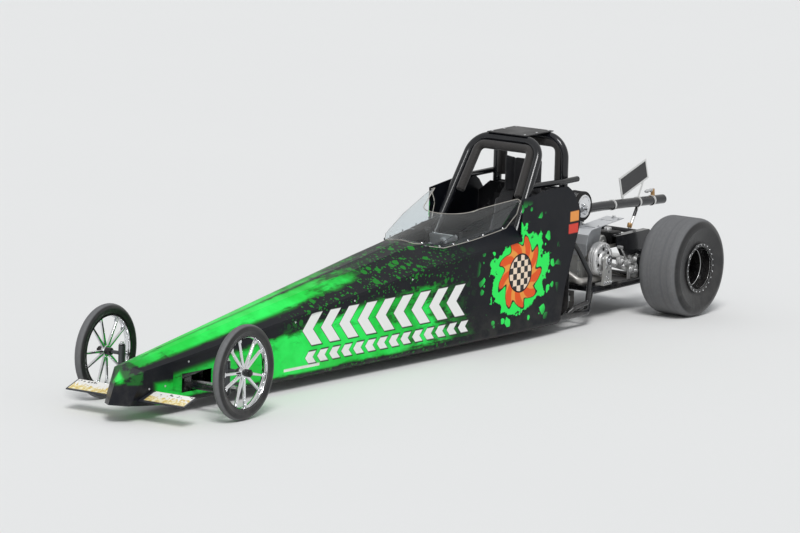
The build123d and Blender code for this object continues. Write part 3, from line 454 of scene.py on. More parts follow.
def makeDust():
    # road dust that thickens towards the ground
    tree, come, go = startGroup("roadDust", {"Amount": 0.4, "Top": 0.3}, ["Mask"])
    low = ramped(tree, axes(tree, come["Vector"])["Z"], 0.03, come["Top"], 1.0, 0.08, "LINEAR")
    patch = ramped(tree, noise(tree, come["Vector"], 14.0, 7.0, 0.65), 0.36, 0.72)
    both = calc(tree, "MULTIPLY", low, patch)
    tree.links.new(calc(tree, "MULTIPLY", both, come["Amount"], clamp=True), go["Mask"])
    return tree


def makeRubs():
    # fine scratches and rubbed patches
    tree, come, go = startGroup("rubMarks", {"Scale": 30.0, "Amount": 0.5}, ["Mask"])
    long = drawnOut(tree, come["Vector"], 0.12)
    lines = ramped(tree, noise(tree, long, come["Scale"], 8.0, 0.75), 0.56, 0.70)
    patchScale = calc(tree, "MULTIPLY", come["Scale"], 0.4)
    patches = ramped(tree, noise(tree, come["Vector"], patchScale, 5.0), 0.42, 0.62)
    both = calc(tree, "MULTIPLY", lines, patches)
    tree.links.new(calc(tree, "MULTIPLY", both, come["Amount"], clamp=True), go["Mask"])
    return tree


def makeSpatter():
    # round drops of several sizes, as thrown paint
    tree, come, go = startGroup("paintSpatter", {"Scale": 30.0, "Size": 0.5}, ["Mask"])
    warp = place(tree, "ShaderNodeTexNoise", {"Vector": come["Vector"], "Scale": 26.0, "Detail": 2.0})
    shift = place(tree, "ShaderNodeVectorMath", {0: warp.outputs["Color"], 1: (0.012, 0.012, 0.012)},
                  operation="MULTIPLY")
    bent = place(tree, "ShaderNodeVectorMath", {0: come["Vector"], 1: shift.outputs[0]}, operation="ADD")
    cells = place(tree, "ShaderNodeTexVoronoi", {"Vector": bent.outputs[0], "Scale": come["Scale"]}).outputs
    chance = place(tree, "ShaderNodeSeparateColor", {0: cells["Color"]}).outputs["Red"]
    limit = calc(tree, "MULTIPLY", calc(tree, "POWER", chance, 2.5), come["Size"])
    inside = calc(tree, "SUBTRACT", limit, cells["Distance"])
    tree.links.new(ramped(tree, inside, 0.0, 0.03), go["Mask"])
    return tree


def makeWeave():
    # over and under threads
    tree, come, go = startGroup("threadWeave", {"Scale": 500.0}, ["Height", "Mask"])
    big = place(tree, "ShaderNodeVectorMath", {0: come["Vector"], "Scale": come["Scale"]},
                operation="SCALE")
    x, y, z = axes(tree, big.outputs[0])
    across = calc(tree, "SINE", calc(tree, "ADD", x, z))
    along = calc(tree, "SINE", calc(tree, "SUBTRACT", y, z))
    height = calc(tree, "MULTIPLY", across, along)
    tree.links.new(height, go["Height"])
    tree.links.new(ramped(tree, height, -0.6, 0.6), go["Mask"])
    return tree


grainGroup = makeGrain()
dustGroup = makeDust()
rubGroup = makeRubs()
spatterGroup = makeSpatter()
weaveGroup = makeWeave()
print("shared effects ready")


def startMaterial(name, fixed):
    material = bpy.data.materials.new(name)
    material.use_nodes = True
    tree = material.node_tree
    tree.nodes.clear()
    shader = place(tree, "ShaderNodeBsdfPrincipled", fixed)
    place(tree, "ShaderNodeOutputMaterial", {"Surface": shader.outputs[0]})
    return material, tree, shader, tree.nodes.new("ShaderNodeTexCoord").outputs["Object"]


def feed(tree, shader, colour, rough, height=None, depth=0.0):
    # colour and roughness, and a fine bump where a depth is given
    tree.links.new(colour, shader.inputs["Base Color"])
    tree.links.new(rough, shader.inputs["Roughness"])
    if depth:
        bump = place(tree, "ShaderNodeBump", {"Height": height, "Distance": depth, "Strength": 1.0})
        tree.links.new(bump.outputs[0], shader.inputs["Normal"])


plain = {
    "metal": 0.0,
    "specular": 0.5,
    "coat": 0.0,
    "grain": 400.0,
    "rubScale": 40.0,
    "rubs": 0.3,
    "rubColour": (0.35, 0.35, 0.35, 1),
    "dust": 0.25,
    "dustTop": 0.3,
    "dustColour": (0.20, 0.185, 0.165, 1),
    "shade": 0.75,
    "bump": 0.0002,
}


def plainFinish(name, look):
    # a metal, plastic or coated finish: shade change, rubbed marks, dust and fine bump
    look = {**plain, **look}
    fixed = {"Metallic": look["metal"], "Specular IOR Level": look["specular"]}
    if look["coat"]:
        fixed.update({"Coat Weight": look["coat"], "Coat Roughness": 0.06})
    material, tree, shader, coords = startMaterial(name, fixed)
    grain = useGroup(tree, grainGroup, coords, Scale=look["grain"])
    rubs = useGroup(tree, rubGroup, coords, Scale=look["rubScale"], Amount=look["rubs"])["Mask"]
    dust = useGroup(tree, dustGroup, coords, Amount=look["dust"], Top=look["dustTop"])["Mask"]
    colour = mixed(tree, grain["Shade"], shaded(look["colour"], look["shade"]), look["colour"])
    colour = mixed(tree, rubs, colour, look["rubColour"])
    colour = mixed(tree, dust, colour, look["dustColour"])
    clean = ramped(tree, grain["Shade"], 0.3, 0.7, look["rough"] * 0.85, look["rough"] * 1.2)
    rough = calc(tree, "ADD", clean, calc(tree, "MULTIPLY", dust, 0.45), clamp=True)
    feed(tree, shader, colour, rough, grain["Height"], look["bump"])
    return material


finishes = {
    "frameGloss": {"colour": (0.008, 0.009, 0.012, 1), "rough": 0.22, "specular": 0.3, "coat": 0.35,
                   "rubs": 0.25, "rubColour": (0.08, 0.08, 0.09, 1), "dust": 0.22, "bump": 0.00006},
    "plateBlack": {"colour": (0.012, 0.012, 0.014, 1), "rough": 0.42, "specular": 0.3, "rubs": 0.4,
                   "dust": 0.25},
    "darkSteel": {"colour": (0.10, 0.105, 0.115, 1), "metal": 0.7, "rough": 0.36, "rubs": 0.4,
                  "rubColour": (0.32, 0.32, 0.33, 1), "dust": 0.25},
    "castAlloy": {"colour": (0.62, 0.62, 0.60, 1), "metal": 0.6, "rough": 0.42, "grain": 900.0,
                  "bump": 0.0004, "rubs": 0.6, "rubColour": (0.14, 0.13, 0.12, 1), "dust": 0.3},
    "machined": {"colour": (0.82, 0.82, 0.82, 1), "metal": 0.65, "rough": 0.28, "grain": 700.0,
                 "bump": 0.00005, "rubs": 0.4, "rubColour": (0.34, 0.33, 0.31, 1), "dust": 0.12},
    "sheetAlloy": {"colour": (0.74, 0.76, 0.79, 1), "metal": 0.7, "rough": 0.34, "grain": 300.0,
                   "bump": 0.00005, "rubs": 0.55, "rubScale": 60.0, "rubColour": (0.40, 0.41, 0.43, 1),
                   "dust": 0.15},
    "chrome": {"colour": (0.86, 0.87, 0.89, 1), "metal": 1.0, "rough": 0.07, "rubs": 0.2,
               "rubColour": (0.35, 0.35, 0.36, 1), "dust": 0.10, "shade": 0.8, "bump": 0.00001},
    "satinAlloy": {"colour": (0.66, 0.67, 0.68, 1), "metal": 0.65, "rough": 0.33, "grain": 500.0,
                   "bump": 0.00008, "rubs": 0.3, "rubColour": (0.35, 0.35, 0.34, 1), "dust": 0.2},
    "engineBlack": {"colour": (0.014, 0.014, 0.015, 1), "rough": 0.50, "specular": 0.3, "grain": 600.0,
                    "bump": 0.0003, "rubs": 0.5, "rubColour": (0.14, 0.14, 0.14, 1), "dust": 0.3,
                    "dustTop": 0.5},
    "boxPlastic": {"colour": (0.013, 0.013, 0.014, 1), "rough": 0.55, "specular": 0.3, "grain": 900.0,
                   "bump": 0.0003, "rubs": 0.25, "rubColour": (0.08, 0.08, 0.08, 1), "dust": 0.4},
    "chainSteel": {"colour": (0.42, 0.40, 0.37, 1), "metal": 0.8, "rough": 0.34, "rubs": 0.6,
                   "rubColour": (0.06, 0.05, 0.04, 1), "dust": 0.3},
    "rimBlack": {"colour": (0.007, 0.007, 0.008, 1), "rough": 0.16, "specular": 0.3, "coat": 0.45,
                 "rubs": 0.15, "rubColour": (0.08, 0.08, 0.08, 1), "dust": 0.25, "bump": 0.00003},
    "gripRubber": {"colour": (0.012, 0.012, 0.012, 1), "rough": 0.7, "specular": 0.3, "grain": 500.0,
                   "bump": 0.0006, "rubs": 0.2, "rubColour": (0.05, 0.05, 0.05, 1), "dust": 0.1},
    "redWire": {"colour": (0.45, 0.02, 0.015, 1), "rough": 0.4, "rubs": 0.2,
                "rubColour": (0.2, 0.05, 0.04, 1), "dust": 0.2},
    "burntPipe": {"colour": (0.66, 0.64, 0.61, 1), "metal": 0.75, "rough": 0.36, "rubs": 0.7,
                  "rubScale": 18.0, "rubColour": (0.20, 0.15, 0.16, 1), "dust": 0.3, "shade": 0.6},
    "brassFitting": {"colour": (0.50, 0.30, 0.13, 1), "metal": 0.7, "rough": 0.38, "rubs": 0.6,
                     "rubColour": (0.62, 0.60, 0.56, 1), "dust": 0.3, "dustTop": 0.7},
    "screenTrim": {"colour": (0.50, 0.47, 0.42, 1), "rough": 0.35, "rubs": 0.3, "dust": 0.2,
                   "rubColour": (0.2, 0.19, 0.17, 1)},
    "ceramic": {"colour": (0.80, 0.79, 0.75, 1), "rough": 0.22, "rubs": 0.2,
                "rubColour": (0.4, 0.37, 0.33, 1), "dust": 0.2, "dustTop": 0.6},
}

finish = {name: plainFinish(name, look) for name, look in finishes.items()}


# Body paint: green front fading to black, thrown drops, white chevrons and a burst on each side

paint = {
    "green": (0.005, 0.61, 0.046, 1),
    "deepGreen": (0.003, 0.20, 0.012, 1),
    "paleGreen": (0.024, 0.90, 0.118, 1),
    "black": (0.0035, 0.0045, 0.008, 1),
    "dust": (0.16, 0.15, 0.13, 1),
    "shoulder": 0.234,  # height of the side's upper edge at the front of the hood
    "shoulderRise": 0.1137,
    "hoodHalf": 0.094,
    "hoodSpread": 0.0709,
    "hoodFront": 3.55,
}


def makeBodyPaint():
    tree, come, go = startGroup("bodyPaint", {"Black At": 1.6, "Green At": 2.5, "Edge Dark": 0.0,
                                              "Mottle": 0.3}, ["Color"])
    coords = come["Vector"]
    along = calc(tree, "SUBTRACT", axes(tree, coords)["X"], rearAxle.x)
    cloud = noise(tree, coords, 3.2, 5.0, 0.6)
    streak = noise(tree, drawnOut(tree, coords, 0.28), 22.0, 6.0, 0.65)
    pushed = calc(tree, "MULTIPLY_ADD", calc(tree, "SUBTRACT", cloud, 0.5), 1.1, along)
    fade = ramped(tree, pushed, come["Black At"], come["Green At"])
    fadeOut = calc(tree, "SUBTRACT", fade, come["Edge Dark"], clamp=True)
    mottle = calc(tree, "MULTIPLY", ramped(tree, streak, 0.48, 0.66), come["Mottle"])
    green = calc(tree, "SUBTRACT", fadeOut, mottle, clamp=True)
    drops = useGroup(tree, spatterGroup, coords, Scale=24.0, Size=0.46)["Mask"]
    mist = useGroup(tree, spatterGroup, coords, Scale=85.0, Size=0.62)["Mask"]
    zone = calc(tree, "MULTIPLY", ramped(tree, along, 1.35, 2.1), ramped(tree, along, 3.0, 2.3))
    thrown = calc(tree, "MULTIPLY", calc(tree, "MAXIMUM", drops, mist), calc(tree, "MULTIPLY", zone, 0.85))
    cover = calc(tree, "MAXIMUM", green, thrown)
    bright = mixed(tree, ramped(tree, cloud, 0.35, 0.68), paint["green"], paint["paleGreen"])
    shade = mixed(tree, ramped(tree, green, 0.25, 0.9), paint["deepGreen"], bright)
    tree.links.new(mixed(tree, ramped(tree, cover, 0.02, 0.5), paint["black"], shade), go["Color"])
    return tree


art = {
    "white": (0.86, 0.86, 0.84, 1),
    "markEdge": (0.01, 0.012, 0.01, 1),
    "orange": (0.80, 0.10, 0.015, 1),
    "amber": (0.88, 0.34, 0.06, 1),
    "cream": (0.90, 0.72, 0.56, 1),
    "square": (0.03, 0.03, 0.03, 1),
    "slope": 0.9,
    "rows": ((0.185, 0.325, 0.125, 0.56, 13, 22), (0.108, 0.158, 0.082, 0.62, 19, 33)),
    "burst": (1.16, 0.325, 0.180),  # length, height and radius
    "labels": ((0.698, 0.768, 0.510, 0.556, (0.85, 0.33, 0.08, 1)),
               (0.701, 0.778, 0.456, 0.499, (0.70, 0.06, 0.04, 1)),
               (2.58, 2.82, 0.064, 0.102, (0.82, 0.80, 0.78, 1))),
}


def band(tree, value, low, high, edge=0.0025):
    return calc(tree, "MULTIPLY", ramped(tree, value, low - edge, low + edge),
                ramped(tree, value, high + edge, high - edge))


def chevrons(tree, along, height, low, high, pitch, share, first, last):
    # one row of marks from low to high, in white and in its dark edge
    out = calc(tree, "ABSOLUTE", calc(tree, "SUBTRACT", height, (low + high) / 2))
    bent = calc(tree, "MULTIPLY_ADD", out, art["slope"], along)
    step = calc(tree, "FRACT", calc(tree, "DIVIDE", bent, pitch))
    reach = band(tree, bent, first * pitch, last * pitch, 0.004)
    inner = calc(tree, "MULTIPLY", band(tree, step, 0.04, 0.04 + share, 0.012),
                 band(tree, height, low, high))
    outer = calc(tree, "MULTIPLY", band(tree, step, 0.01, 0.07 + share, 0.012),
                 band(tree, height, low - 0.006, high + 0.006))
    return calc(tree, "MULTIPLY", inner, reach), calc(tree, "MULTIPLY", outer, reach)


def burst(tree, coords, along, height, colour):
    # thrown green, orange tongues and a checked disc
    x, z, size = art["burst"]
    dx, dz = calc(tree, "SUBTRACT", along, x), calc(tree, "SUBTRACT", height, z)
    reach = reachOf(tree, dx, dz)
    rough = calc(tree, "SUBTRACT", noise(tree, coords, 11.0, 4.0, 0.6), 0.5)
    drops = useGroup(tree, spatterGroup, coords, Scale=26.0, Size=0.8)["Mask"]
    blot = ramped(tree, calc(tree, "MULTIPLY_ADD", rough, 0.34, reach), size * 1.12, size * 1.06)
    around = calc(tree, "MULTIPLY", drops, ramped(tree, reach, size * 1.85, size * 1.3))
    colour = mixed(tree, calc(tree, "MAXIMUM", blot, around), colour, paint["paleGreen"])
    angle = calc(tree, "ARCTAN2", dz, dx)
    tongue = calc(tree, "SINE", calc(tree, "MULTIPLY_ADD", angle, 9.0, calc(tree, "MULTIPLY", reach, 46.0)))
    edge = calc(tree, "MULTIPLY_ADD", tongue, 0.022, calc(tree, "MULTIPLY_ADD", rough, 0.05, reach))
    colour = mixed(tree, ramped(tree, edge, size * 0.84, size * 0.82), colour, paint["black"])
    heat = ramped(tree, calc(tree, "ADD", tongue, calc(tree, "MULTIPLY", rough, 2.0)), -0.2, 0.5)
    hot = mixed(tree, heat, art["orange"], art["amber"])
    colour = mixed(tree, ramped(tree, edge, size * 0.80, size * 0.77), colour, hot)
    colour = mixed(tree, ramped(tree, reach, size * 0.50, size * 0.49), colour, paint["black"])
    flat = place(tree, "ShaderNodeCombineXYZ", {0: calc(tree, "ADD", dx, 5.0), 1: 0.007,
                                                2: calc(tree, "ADD", dz, 5.0)})
    squares = place(tree, "ShaderNodeTexChecker", {"Vector": flat.outputs[0], "Scale": 36.0,
                                                   "Color1": art["cream"], "Color2": art["square"]})
    return mixed(tree, ramped(tree, reach, size * 0.46, size * 0.45), colour, squares.outputs["Color"])


def makeSideArt():
    # two rows of white marks, a burst and three small blank labels, on the side's length and height
    tree, come, go = startGroup("sideArt", {"Paint": (0, 0, 0, 1)}, ["Color"])
    x, y, height = axes(tree, come["Vector"])
    along = calc(tree, "SUBTRACT", x, rearAxle.x)
    rows = [chevrons(tree, along, height, *row) for row in art["rows"]]
    whites, edges = (calc(tree, "MAXIMUM", *masks) for masks in zip(*rows))
    colour = mixed(tree, edges, come["Paint"], art["markEdge"])
    colour = mixed(tree, whites, colour, art["white"])
    colour = burst(tree, come["Vector"], along, height, colour)
    for low, high, floor, top, tint in art["labels"]:
        label = calc(tree, "MULTIPLY", band(tree, along, low, high, 0.003),
                     band(tree, height, floor, top, 0.003))
        colour = mixed(tree, label, colour, tint)
    facing = axes(tree, place(tree, "ShaderNodeNewGeometry").outputs["Normal"])["Y"]
    outward = calc(tree, "MULTIPLY", facing, calc(tree, "SIGN", y))  # the inner face stays plain black
    colour = mixed(tree, ramped(tree, outward, -0.2, 0.0), paint["black"], colour)
    tree.links.new(colour, go["Color"])
    return tree


bodyPaintGroup = makeBodyPaint()
sideArtGroup = makeSideArt()


def paintFinish(name, blackAt, greenAt, mottle, edge, gloss, withArt):
    material, tree, shader, coords = startMaterial(name, {
        "Specular IOR Level": 0.12, "Coat Weight": gloss, "Coat Roughness": 0.20})
    x, y, z = axes(tree, coords)
    # the panel's dark edge, which on the side panel is a painted shadow under the shoulder
    edgeDark = edge(tree, calc(tree, "SUBTRACT", x, rearAxle.x), y, z)
    colour = useGroup(tree, bodyPaintGroup, coords, **{"Black At": blackAt, "Green At": greenAt,
                                                       "Edge Dark": edgeDark, "Mottle": mottle})["Color"]
    if withArt:
        colour = useGroup(tree, sideArtGroup, coords, Paint=colour)["Color"]
    dust = useGroup(tree, dustGroup, coords, Amount=0.22, Top=0.22)["Mask"]
    grain = useGroup(tree, grainGroup, coords, Scale=260.0)
    rough = calc(tree, "ADD", ramped(tree, grain["Shade"], 0.3, 0.7, 0.32, 0.44),
                 calc(tree, "MULTIPLY", dust, 0.5), clamp=True)
    feed(tree, shader, mixed(tree, dust, colour, paint["dust"]), rough, grain["Height"], 0.00004)
    return material


def sideShadeBand(tree, along, y, z):
    # painted shadow in a band under the shoulder, and darker again towards the nose
    shoulder = calc(tree, "MULTIPLY_ADD", calc(tree, "SUBTRACT", paint["hoodFront"], along),
                    paint["shoulderRise"], paint["shoulder"])
    under = calc(tree, "SUBTRACT", shoulder, z)
    front = ramped(tree, calc(tree, "MULTIPLY_ADD", under, -3.0, along), 2.90, 3.45, 0.0, 0.55)
    return calc(tree, "MAXIMUM", ramped(tree, under, 0.095, 0.035), front)


def shareOut(tree, along, y):
    # 0 on the hood's middle line, 1 on its edge
    half = calc(tree, "MULTIPLY_ADD", calc(tree, "SUBTRACT", paint["hoodFront"], along),
                paint["hoodSpread"], paint["hoodHalf"])
    return calc(tree, "DIVIDE", calc(tree, "ABSOLUTE", y), half)


def hoodEdge(tree, along, y, z):
    # the facet along each shoulder stays black, and the middle ridge is darker
    share = shareOut(tree, along, y)
    front = ramped(tree, along, 3.30, 3.62, 0.0, 0.15)
    ridge = ramped(tree, share, 0.14, 0.0, 0.0, 0.5)
    return calc(tree, "MAXIMUM", calc(tree, "MAXIMUM", ramped(tree, share, 0.50, 0.84), front), ridge)


def noseEdge(tree, along, y, z):
    # the hood's green goes on, then a green patch on the cheeks and black below and ahead
    rear = calc(tree, "MAXIMUM", ramped(tree, shareOut(tree, along, y), 0.45, 0.80),
                ramped(tree, along, 3.50, 3.74, 0.12, 0.50))
    cheek = calc(tree, "MAXIMUM", ramped(tree, z, 0.185, 0.150),
                 ramped(tree, along, 3.815, 3.795, 0.05, 0.75))
    low = calc(tree, "MAXIMUM", ramped(tree, z, 0.135, 0.170, 0.18, 1.0), ramped(tree, along, 3.62, 3.69))
    onCheek = ramped(tree, along, 3.730, 3.745)
    upper = calc(tree, "ADD", calc(tree, "MULTIPLY", cheek, onCheek),
                 calc(tree, "MULTIPLY", rear, calc(tree, "SUBTRACT", 1.0, onCheek)))
    return calc(tree, "MINIMUM", upper, low)


def bellyEdge(tree, along, y, z):
    return ramped(tree, z, 0.085, 0.06)


# where each panel turns black and green, its mottle, its dark edge (on the side panel a painted shadow
# under the shoulder) and its gloss
panelPaint = {
    "sidePaint": (1.35, 2.25, 0.40, sideShadeBand, 0.06),
    "hoodPaint": (1.80, 2.75, 0.34, hoodEdge, 0.10),
    "nosePaint": (2.0, 2.7, 0.42, noseEdge, 0.14),
    "bellyPaint": (1.5, 2.4, 0.4, bellyEdge, 0.06),
}
for name, look in panelPaint.items():
    finish[name] = paintFinish(name, *look, withArt=name == "sidePaint")
print("paint ready")


rubber = {
    "tread": ((0.100, 0.101, 0.104, 1), (0.190, 0.192, 0.198, 1)),
    "treadBand": (0.122, 0.124, 0.128, 1),
    "wall": ((0.010, 0.010, 0.011, 1), (0.024, 0.024, 0.025, 1)),
    "dust": (0.12, 0.115, 0.105, 1),
}


def rubberFinish(name, centre, radius, wornTread):
    # scuffed tread, and a shiny side wall with fine rings
    material, tree, shader, coords = startMaterial(name, {"Specular IOR Level": 0.35})
    x, y, z = axes(tree, coords)
    dx, dz = calc(tree, "SUBTRACT", x, centre.x), calc(tree, "SUBTRACT", z, centre.z)
    reach = reachOf(tree, dx, dz)
    tread = ramped(tree, reach, radius * wornTread, radius * (wornTread + 0.03))
    around = calc(tree, "MULTIPLY", calc(tree, "ARCTAN2", dz, dx), radius)
    flat = place(tree, "ShaderNodeCombineXYZ", {0: calc(tree, "MULTIPLY", around, 0.6), 1: y, 2: 0.0})
    scuff = noise(tree, flat.outputs[0], 90.0, 6.0, 0.7)
    lines = noise(tree, place(tree, "ShaderNodeCombineXYZ", {0: 0.0, 1: y, 2: 0.0}).outputs[0], 60.0, 4.0)
    worn = mixed(tree, ramped(tree, lines, 0.45, 0.7), mixed(tree, scuff, *rubber["tread"]),
                 rubber["treadBand"])
    colour = mixed(tree, tread, mixed(tree, scuff, *rubber["wall"]), worn)
    dust = useGroup(tree, dustGroup, coords, Amount=0.25, Top=0.5)["Mask"]
    colour = mixed(tree, dust, colour, rubber["dust"])
    rings = calc(tree, "SINE", calc(tree, "MULTIPLY", reach, 1400.0))
    wallRings = calc(tree, "MULTIPLY", rings, calc(tree, "SUBTRACT", 1.0, tread))
    height = calc(tree, "ADD", calc(tree, "MULTIPLY", wallRings, 0.25), scuff)
    feed(tree, shader, colour, ramped(tree, tread, 0.0, 1.0, 0.30, 0.74), height, 0.0006)
    return material


def glassFinish():
    material, tree, shader, coords = startMaterial("screenClear", {
        "Transmission Weight": 1.0, "IOR": 1.28, "Metallic": 0.0})
    smear = noise(tree, coords, 9.0, 6.0, 0.6)
    feed(tree, shader, mixed(tree, smear, (0.84, 0.90, 0.93, 1), (0.93, 0.96, 0.97, 1)),
         ramped(tree, smear, 0.45, 0.8, 0.0, 0.05))
    return material


foilLook = {
    "front": ahead(3.763),
    "chord": 0.086,
    "gold": ((0.72, 0.54, 0.16, 1), (0.90, 0.84, 0.56, 1)),
    "white": (0.88, 0.87, 0.83, 1),
    "notch": (0.03, 0.03, 0.03, 1),
    "border": (0.02, 0.022, 0.028, 1),
}


def foilFinish():
    # gold mottle in front, white with dark notches behind, and a dark border
    look = foilLook
    material, tree, shader, coords = startMaterial("foilPrint", {
        "Specular IOR Level": 0.4, "Coat Weight": 0.4, "Coat Roughness": 0.08})
    x, y, z = axes(tree, coords)
    back = calc(tree, "DIVIDE", calc(tree, "SUBTRACT", look["front"], x), look["chord"])
    cloud = noise(tree, coords, 60.0, 5.0, 0.6)
    cells = place(tree, "ShaderNodeTexVoronoi", {"Vector": coords, "Scale": 52.0}).outputs["Distance"]
    gold = mixed(tree, ramped(tree, cloud, 0.42, 0.6), *look["gold"])
    edge = calc(tree, "MULTIPLY_ADD", calc(tree, "SUBTRACT", cloud, 0.5), 1.6, back)
    colour = mixed(tree, ramped(tree, edge, 0.50, 0.54), gold, look["white"])
    notch = calc(tree, "MULTIPLY", ramped(tree, cells, 0.36, 0.28), ramped(tree, back, 0.62, 0.80))
    colour = mixed(tree, notch, colour, look["notch"])
    out = calc(tree, "ABSOLUTE", y)
    border = calc(tree, "MAXIMUM", ramped(tree, back, 0.10, 0.06), ramped(tree, out, 0.300, 0.303))
    border = calc(tree, "MAXIMUM", border, ramped(tree, out, 0.100, 0.092))
    colour = mixed(tree, border, colour, look["border"])
    feed(tree, shader, colour, ramped(tree, cloud, 0.3, 0.7, 0.25, 0.4), cloud, 0.0001)
    return material


def softFinish(name, colour, scale, shine=0.3):
    # foam, cloth, webbing or matt paint: threads over a fine grain
    material, tree, shader, coords = startMaterial(name, {
        "Sheen Weight": shine, "Sheen Roughness": 0.5, "Specular IOR Level": 0.3})
    weave = useGroup(tree, weaveGroup, coords, Scale=scale)
    grain = useGroup(tree, grainGroup, coords, Scale=500.0)
    pale = tuple(min(1, c * 1.9 + 0.01) for c in colour[:3]) + (1,)
    tone = mixed(tree, weave["Mask"], shaded(colour, 0.55), colour)
    tone = mixed(tree, ramped(tree, grain["Shade"], 0.4, 0.75, 0.0, 0.35), tone, pale)
    height = calc(tree, "ADD", calc(tree, "MULTIPLY", weave["Height"], 0.5), grain["Height"])
    feed(tree, shader, tone, ramped(tree, grain["Shade"], 0.3, 0.7, 0.6, 0.85), height, 0.0004)
    return material


boardLook = {
    "x": ahead(-0.172),
    "z": 0.576,
    "tilt": 16.5,
    "halfLong": 0.120,
    "halfHigh": 0.050,
    "frame": 0.0095,
    "soft": 0.0004,
    "black": ((0.006, 0.006, 0.007, 1), (0.015, 0.015, 0.017, 1)),
    "white": ((0.60, 0.60, 0.59, 1), (0.80, 0.80, 0.78, 1)),
    "rub": (0.16, 0.16, 0.16, 1),
}


def boardFinish():
    # black face in a pale frame
    look = boardLook
    material, tree, shader, coords = startMaterial("boardFace", {
        "Specular IOR Level": 0.35, "Coat Weight": 0.2, "Coat Roughness": 0.15})
    x, y, z = axes(tree, coords)
    dx, dz = calc(tree, "SUBTRACT", x, look["x"]), calc(tree, "SUBTRACT", z, look["z"])
    slope, lift = math.cos(math.radians(look["tilt"])), math.sin(math.radians(look["tilt"]))
    long = calc(tree, "SUBTRACT", calc(tree, "MULTIPLY", dx, slope), calc(tree, "MULTIPLY", dz, lift))
    high = calc(tree, "ADD", calc(tree, "MULTIPLY", dx, lift), calc(tree, "MULTIPLY", dz, slope))
    sides = []
    for off, half in ((long, look["halfLong"]), (high, look["halfHigh"])):
        edge = half - look["frame"]
        sides.append(ramped(tree, calc(tree, "ABSOLUTE", off), edge - look["soft"], edge + look["soft"]))
    grain = useGroup(tree, grainGroup, coords, Scale=260.0)
    rubs = useGroup(tree, rubGroup, coords, Scale=26.0, Amount=0.4)["Mask"]
    colour = mixed(tree, calc(tree, "MAXIMUM", *sides), mixed(tree, grain["Shade"], *look["black"]),
                   mixed(tree, grain["Shade"], *look["white"]))
    feed(tree, shader, mixed(tree, rubs, colour, look["rub"]),
         ramped(tree, grain["Shade"], 0.3, 0.7, 0.3, 0.45), grain["Height"], 0.0001)
    return material


boomLook = {
    "clamps": (-0.335, -0.210, 0.010),
    "clampHalf": 0.006,
    "bareBelow": 0.396,
    "black": ((0.006, 0.007, 0.009, 1), (0.012, 0.013, 0.017, 1)),
    "steel": ((0.55, 0.55, 0.54, 1), (0.80, 0.80, 0.79, 1)),
    "rub": (0.09, 0.09, 0.10, 1),
}


def boomFinish():
    # black tube whose band clamps and rod end are bare metal
    look = boomLook
    material, tree, shader, coords = startMaterial("boomPaint", {
        "Specular IOR Level": 0.3, "Coat Roughness": 0.06})
    x, y, z = axes(tree, coords)
    along = calc(tree, "SUBTRACT", x, rearAxle.x)
    bare = ramped(tree, z, look["bareBelow"], look["bareBelow"] - 0.002)
    for at in look["clamps"]:
        off = calc(tree, "ABSOLUTE", calc(tree, "SUBTRACT", along, at))
        bare = calc(tree, "MAXIMUM", bare, ramped(tree, off, look["clampHalf"] + 0.0006, look["clampHalf"]))
    grain = useGroup(tree, grainGroup, coords, Scale=400.0)
    rubs = useGroup(tree, rubGroup, coords, Scale=40.0, Amount=0.3)["Mask"]
    black = mixed(tree, rubs, mixed(tree, grain["Shade"], *look["black"]), look["rub"])
    tree.links.new(calc(tree, "MULTIPLY", bare, 0.65), shader.inputs["Metallic"])
    tree.links.new(ramped(tree, bare, 0.0, 1.0, 0.35, 0.0), shader.inputs["Coat Weight"])
    feed(tree, shader, mixed(tree, bare, black, mixed(tree, grain["Shade"], *look["steel"])),
         ramped(tree, bare, 0.0, 1.0, 0.22, 0.32), grain["Height"], 0.00006)
    return material


def setFloor():
    clearPick()
    bpy.ops.mesh.primitive_plane_add(size=studio["floorSide"], location=(0, 0, 0))
    floor = made("floor")
    material, tree, shader, coords = startMaterial("paleFloor", {"Roughness": 0.85})
    colour = mixed(tree, noise(tree, coords, 0.6, 4.0), shaded(studio["floorColour"], 0.985),
                   studio["floorColour"])
    tree.links.new(colour, shader.inputs["Base Color"])
    floor.data.materials.append(material)


setCamera()
setLight()
setFloor()
print("stage set")

finish["slickRubber"] = rubberFinish("slickRubber", rearAxle, 0.2285, 0.93)
finish["frontRubber"] = rubberFinish("frontRubber", frontWheel, 0.203, 0.955)
finish["screenClear"] = glassFinish()
finish["foilPrint"] = foilFinish()
finish["padFoam"] = softFinish("padFoam", (0.030, 0.027, 0.026, 1), 900.0)
finish["seatCloth"] = softFinish("seatCloth", (0.030, 0.030, 0.034, 1), 1500.0)
finish["beltWeb"] = softFinish("beltWeb", (0.020, 0.020, 0.022, 1), 2200.0)
finish["boardFace"] = boardFinish()
finish["boomPaint"] = boomFinish()

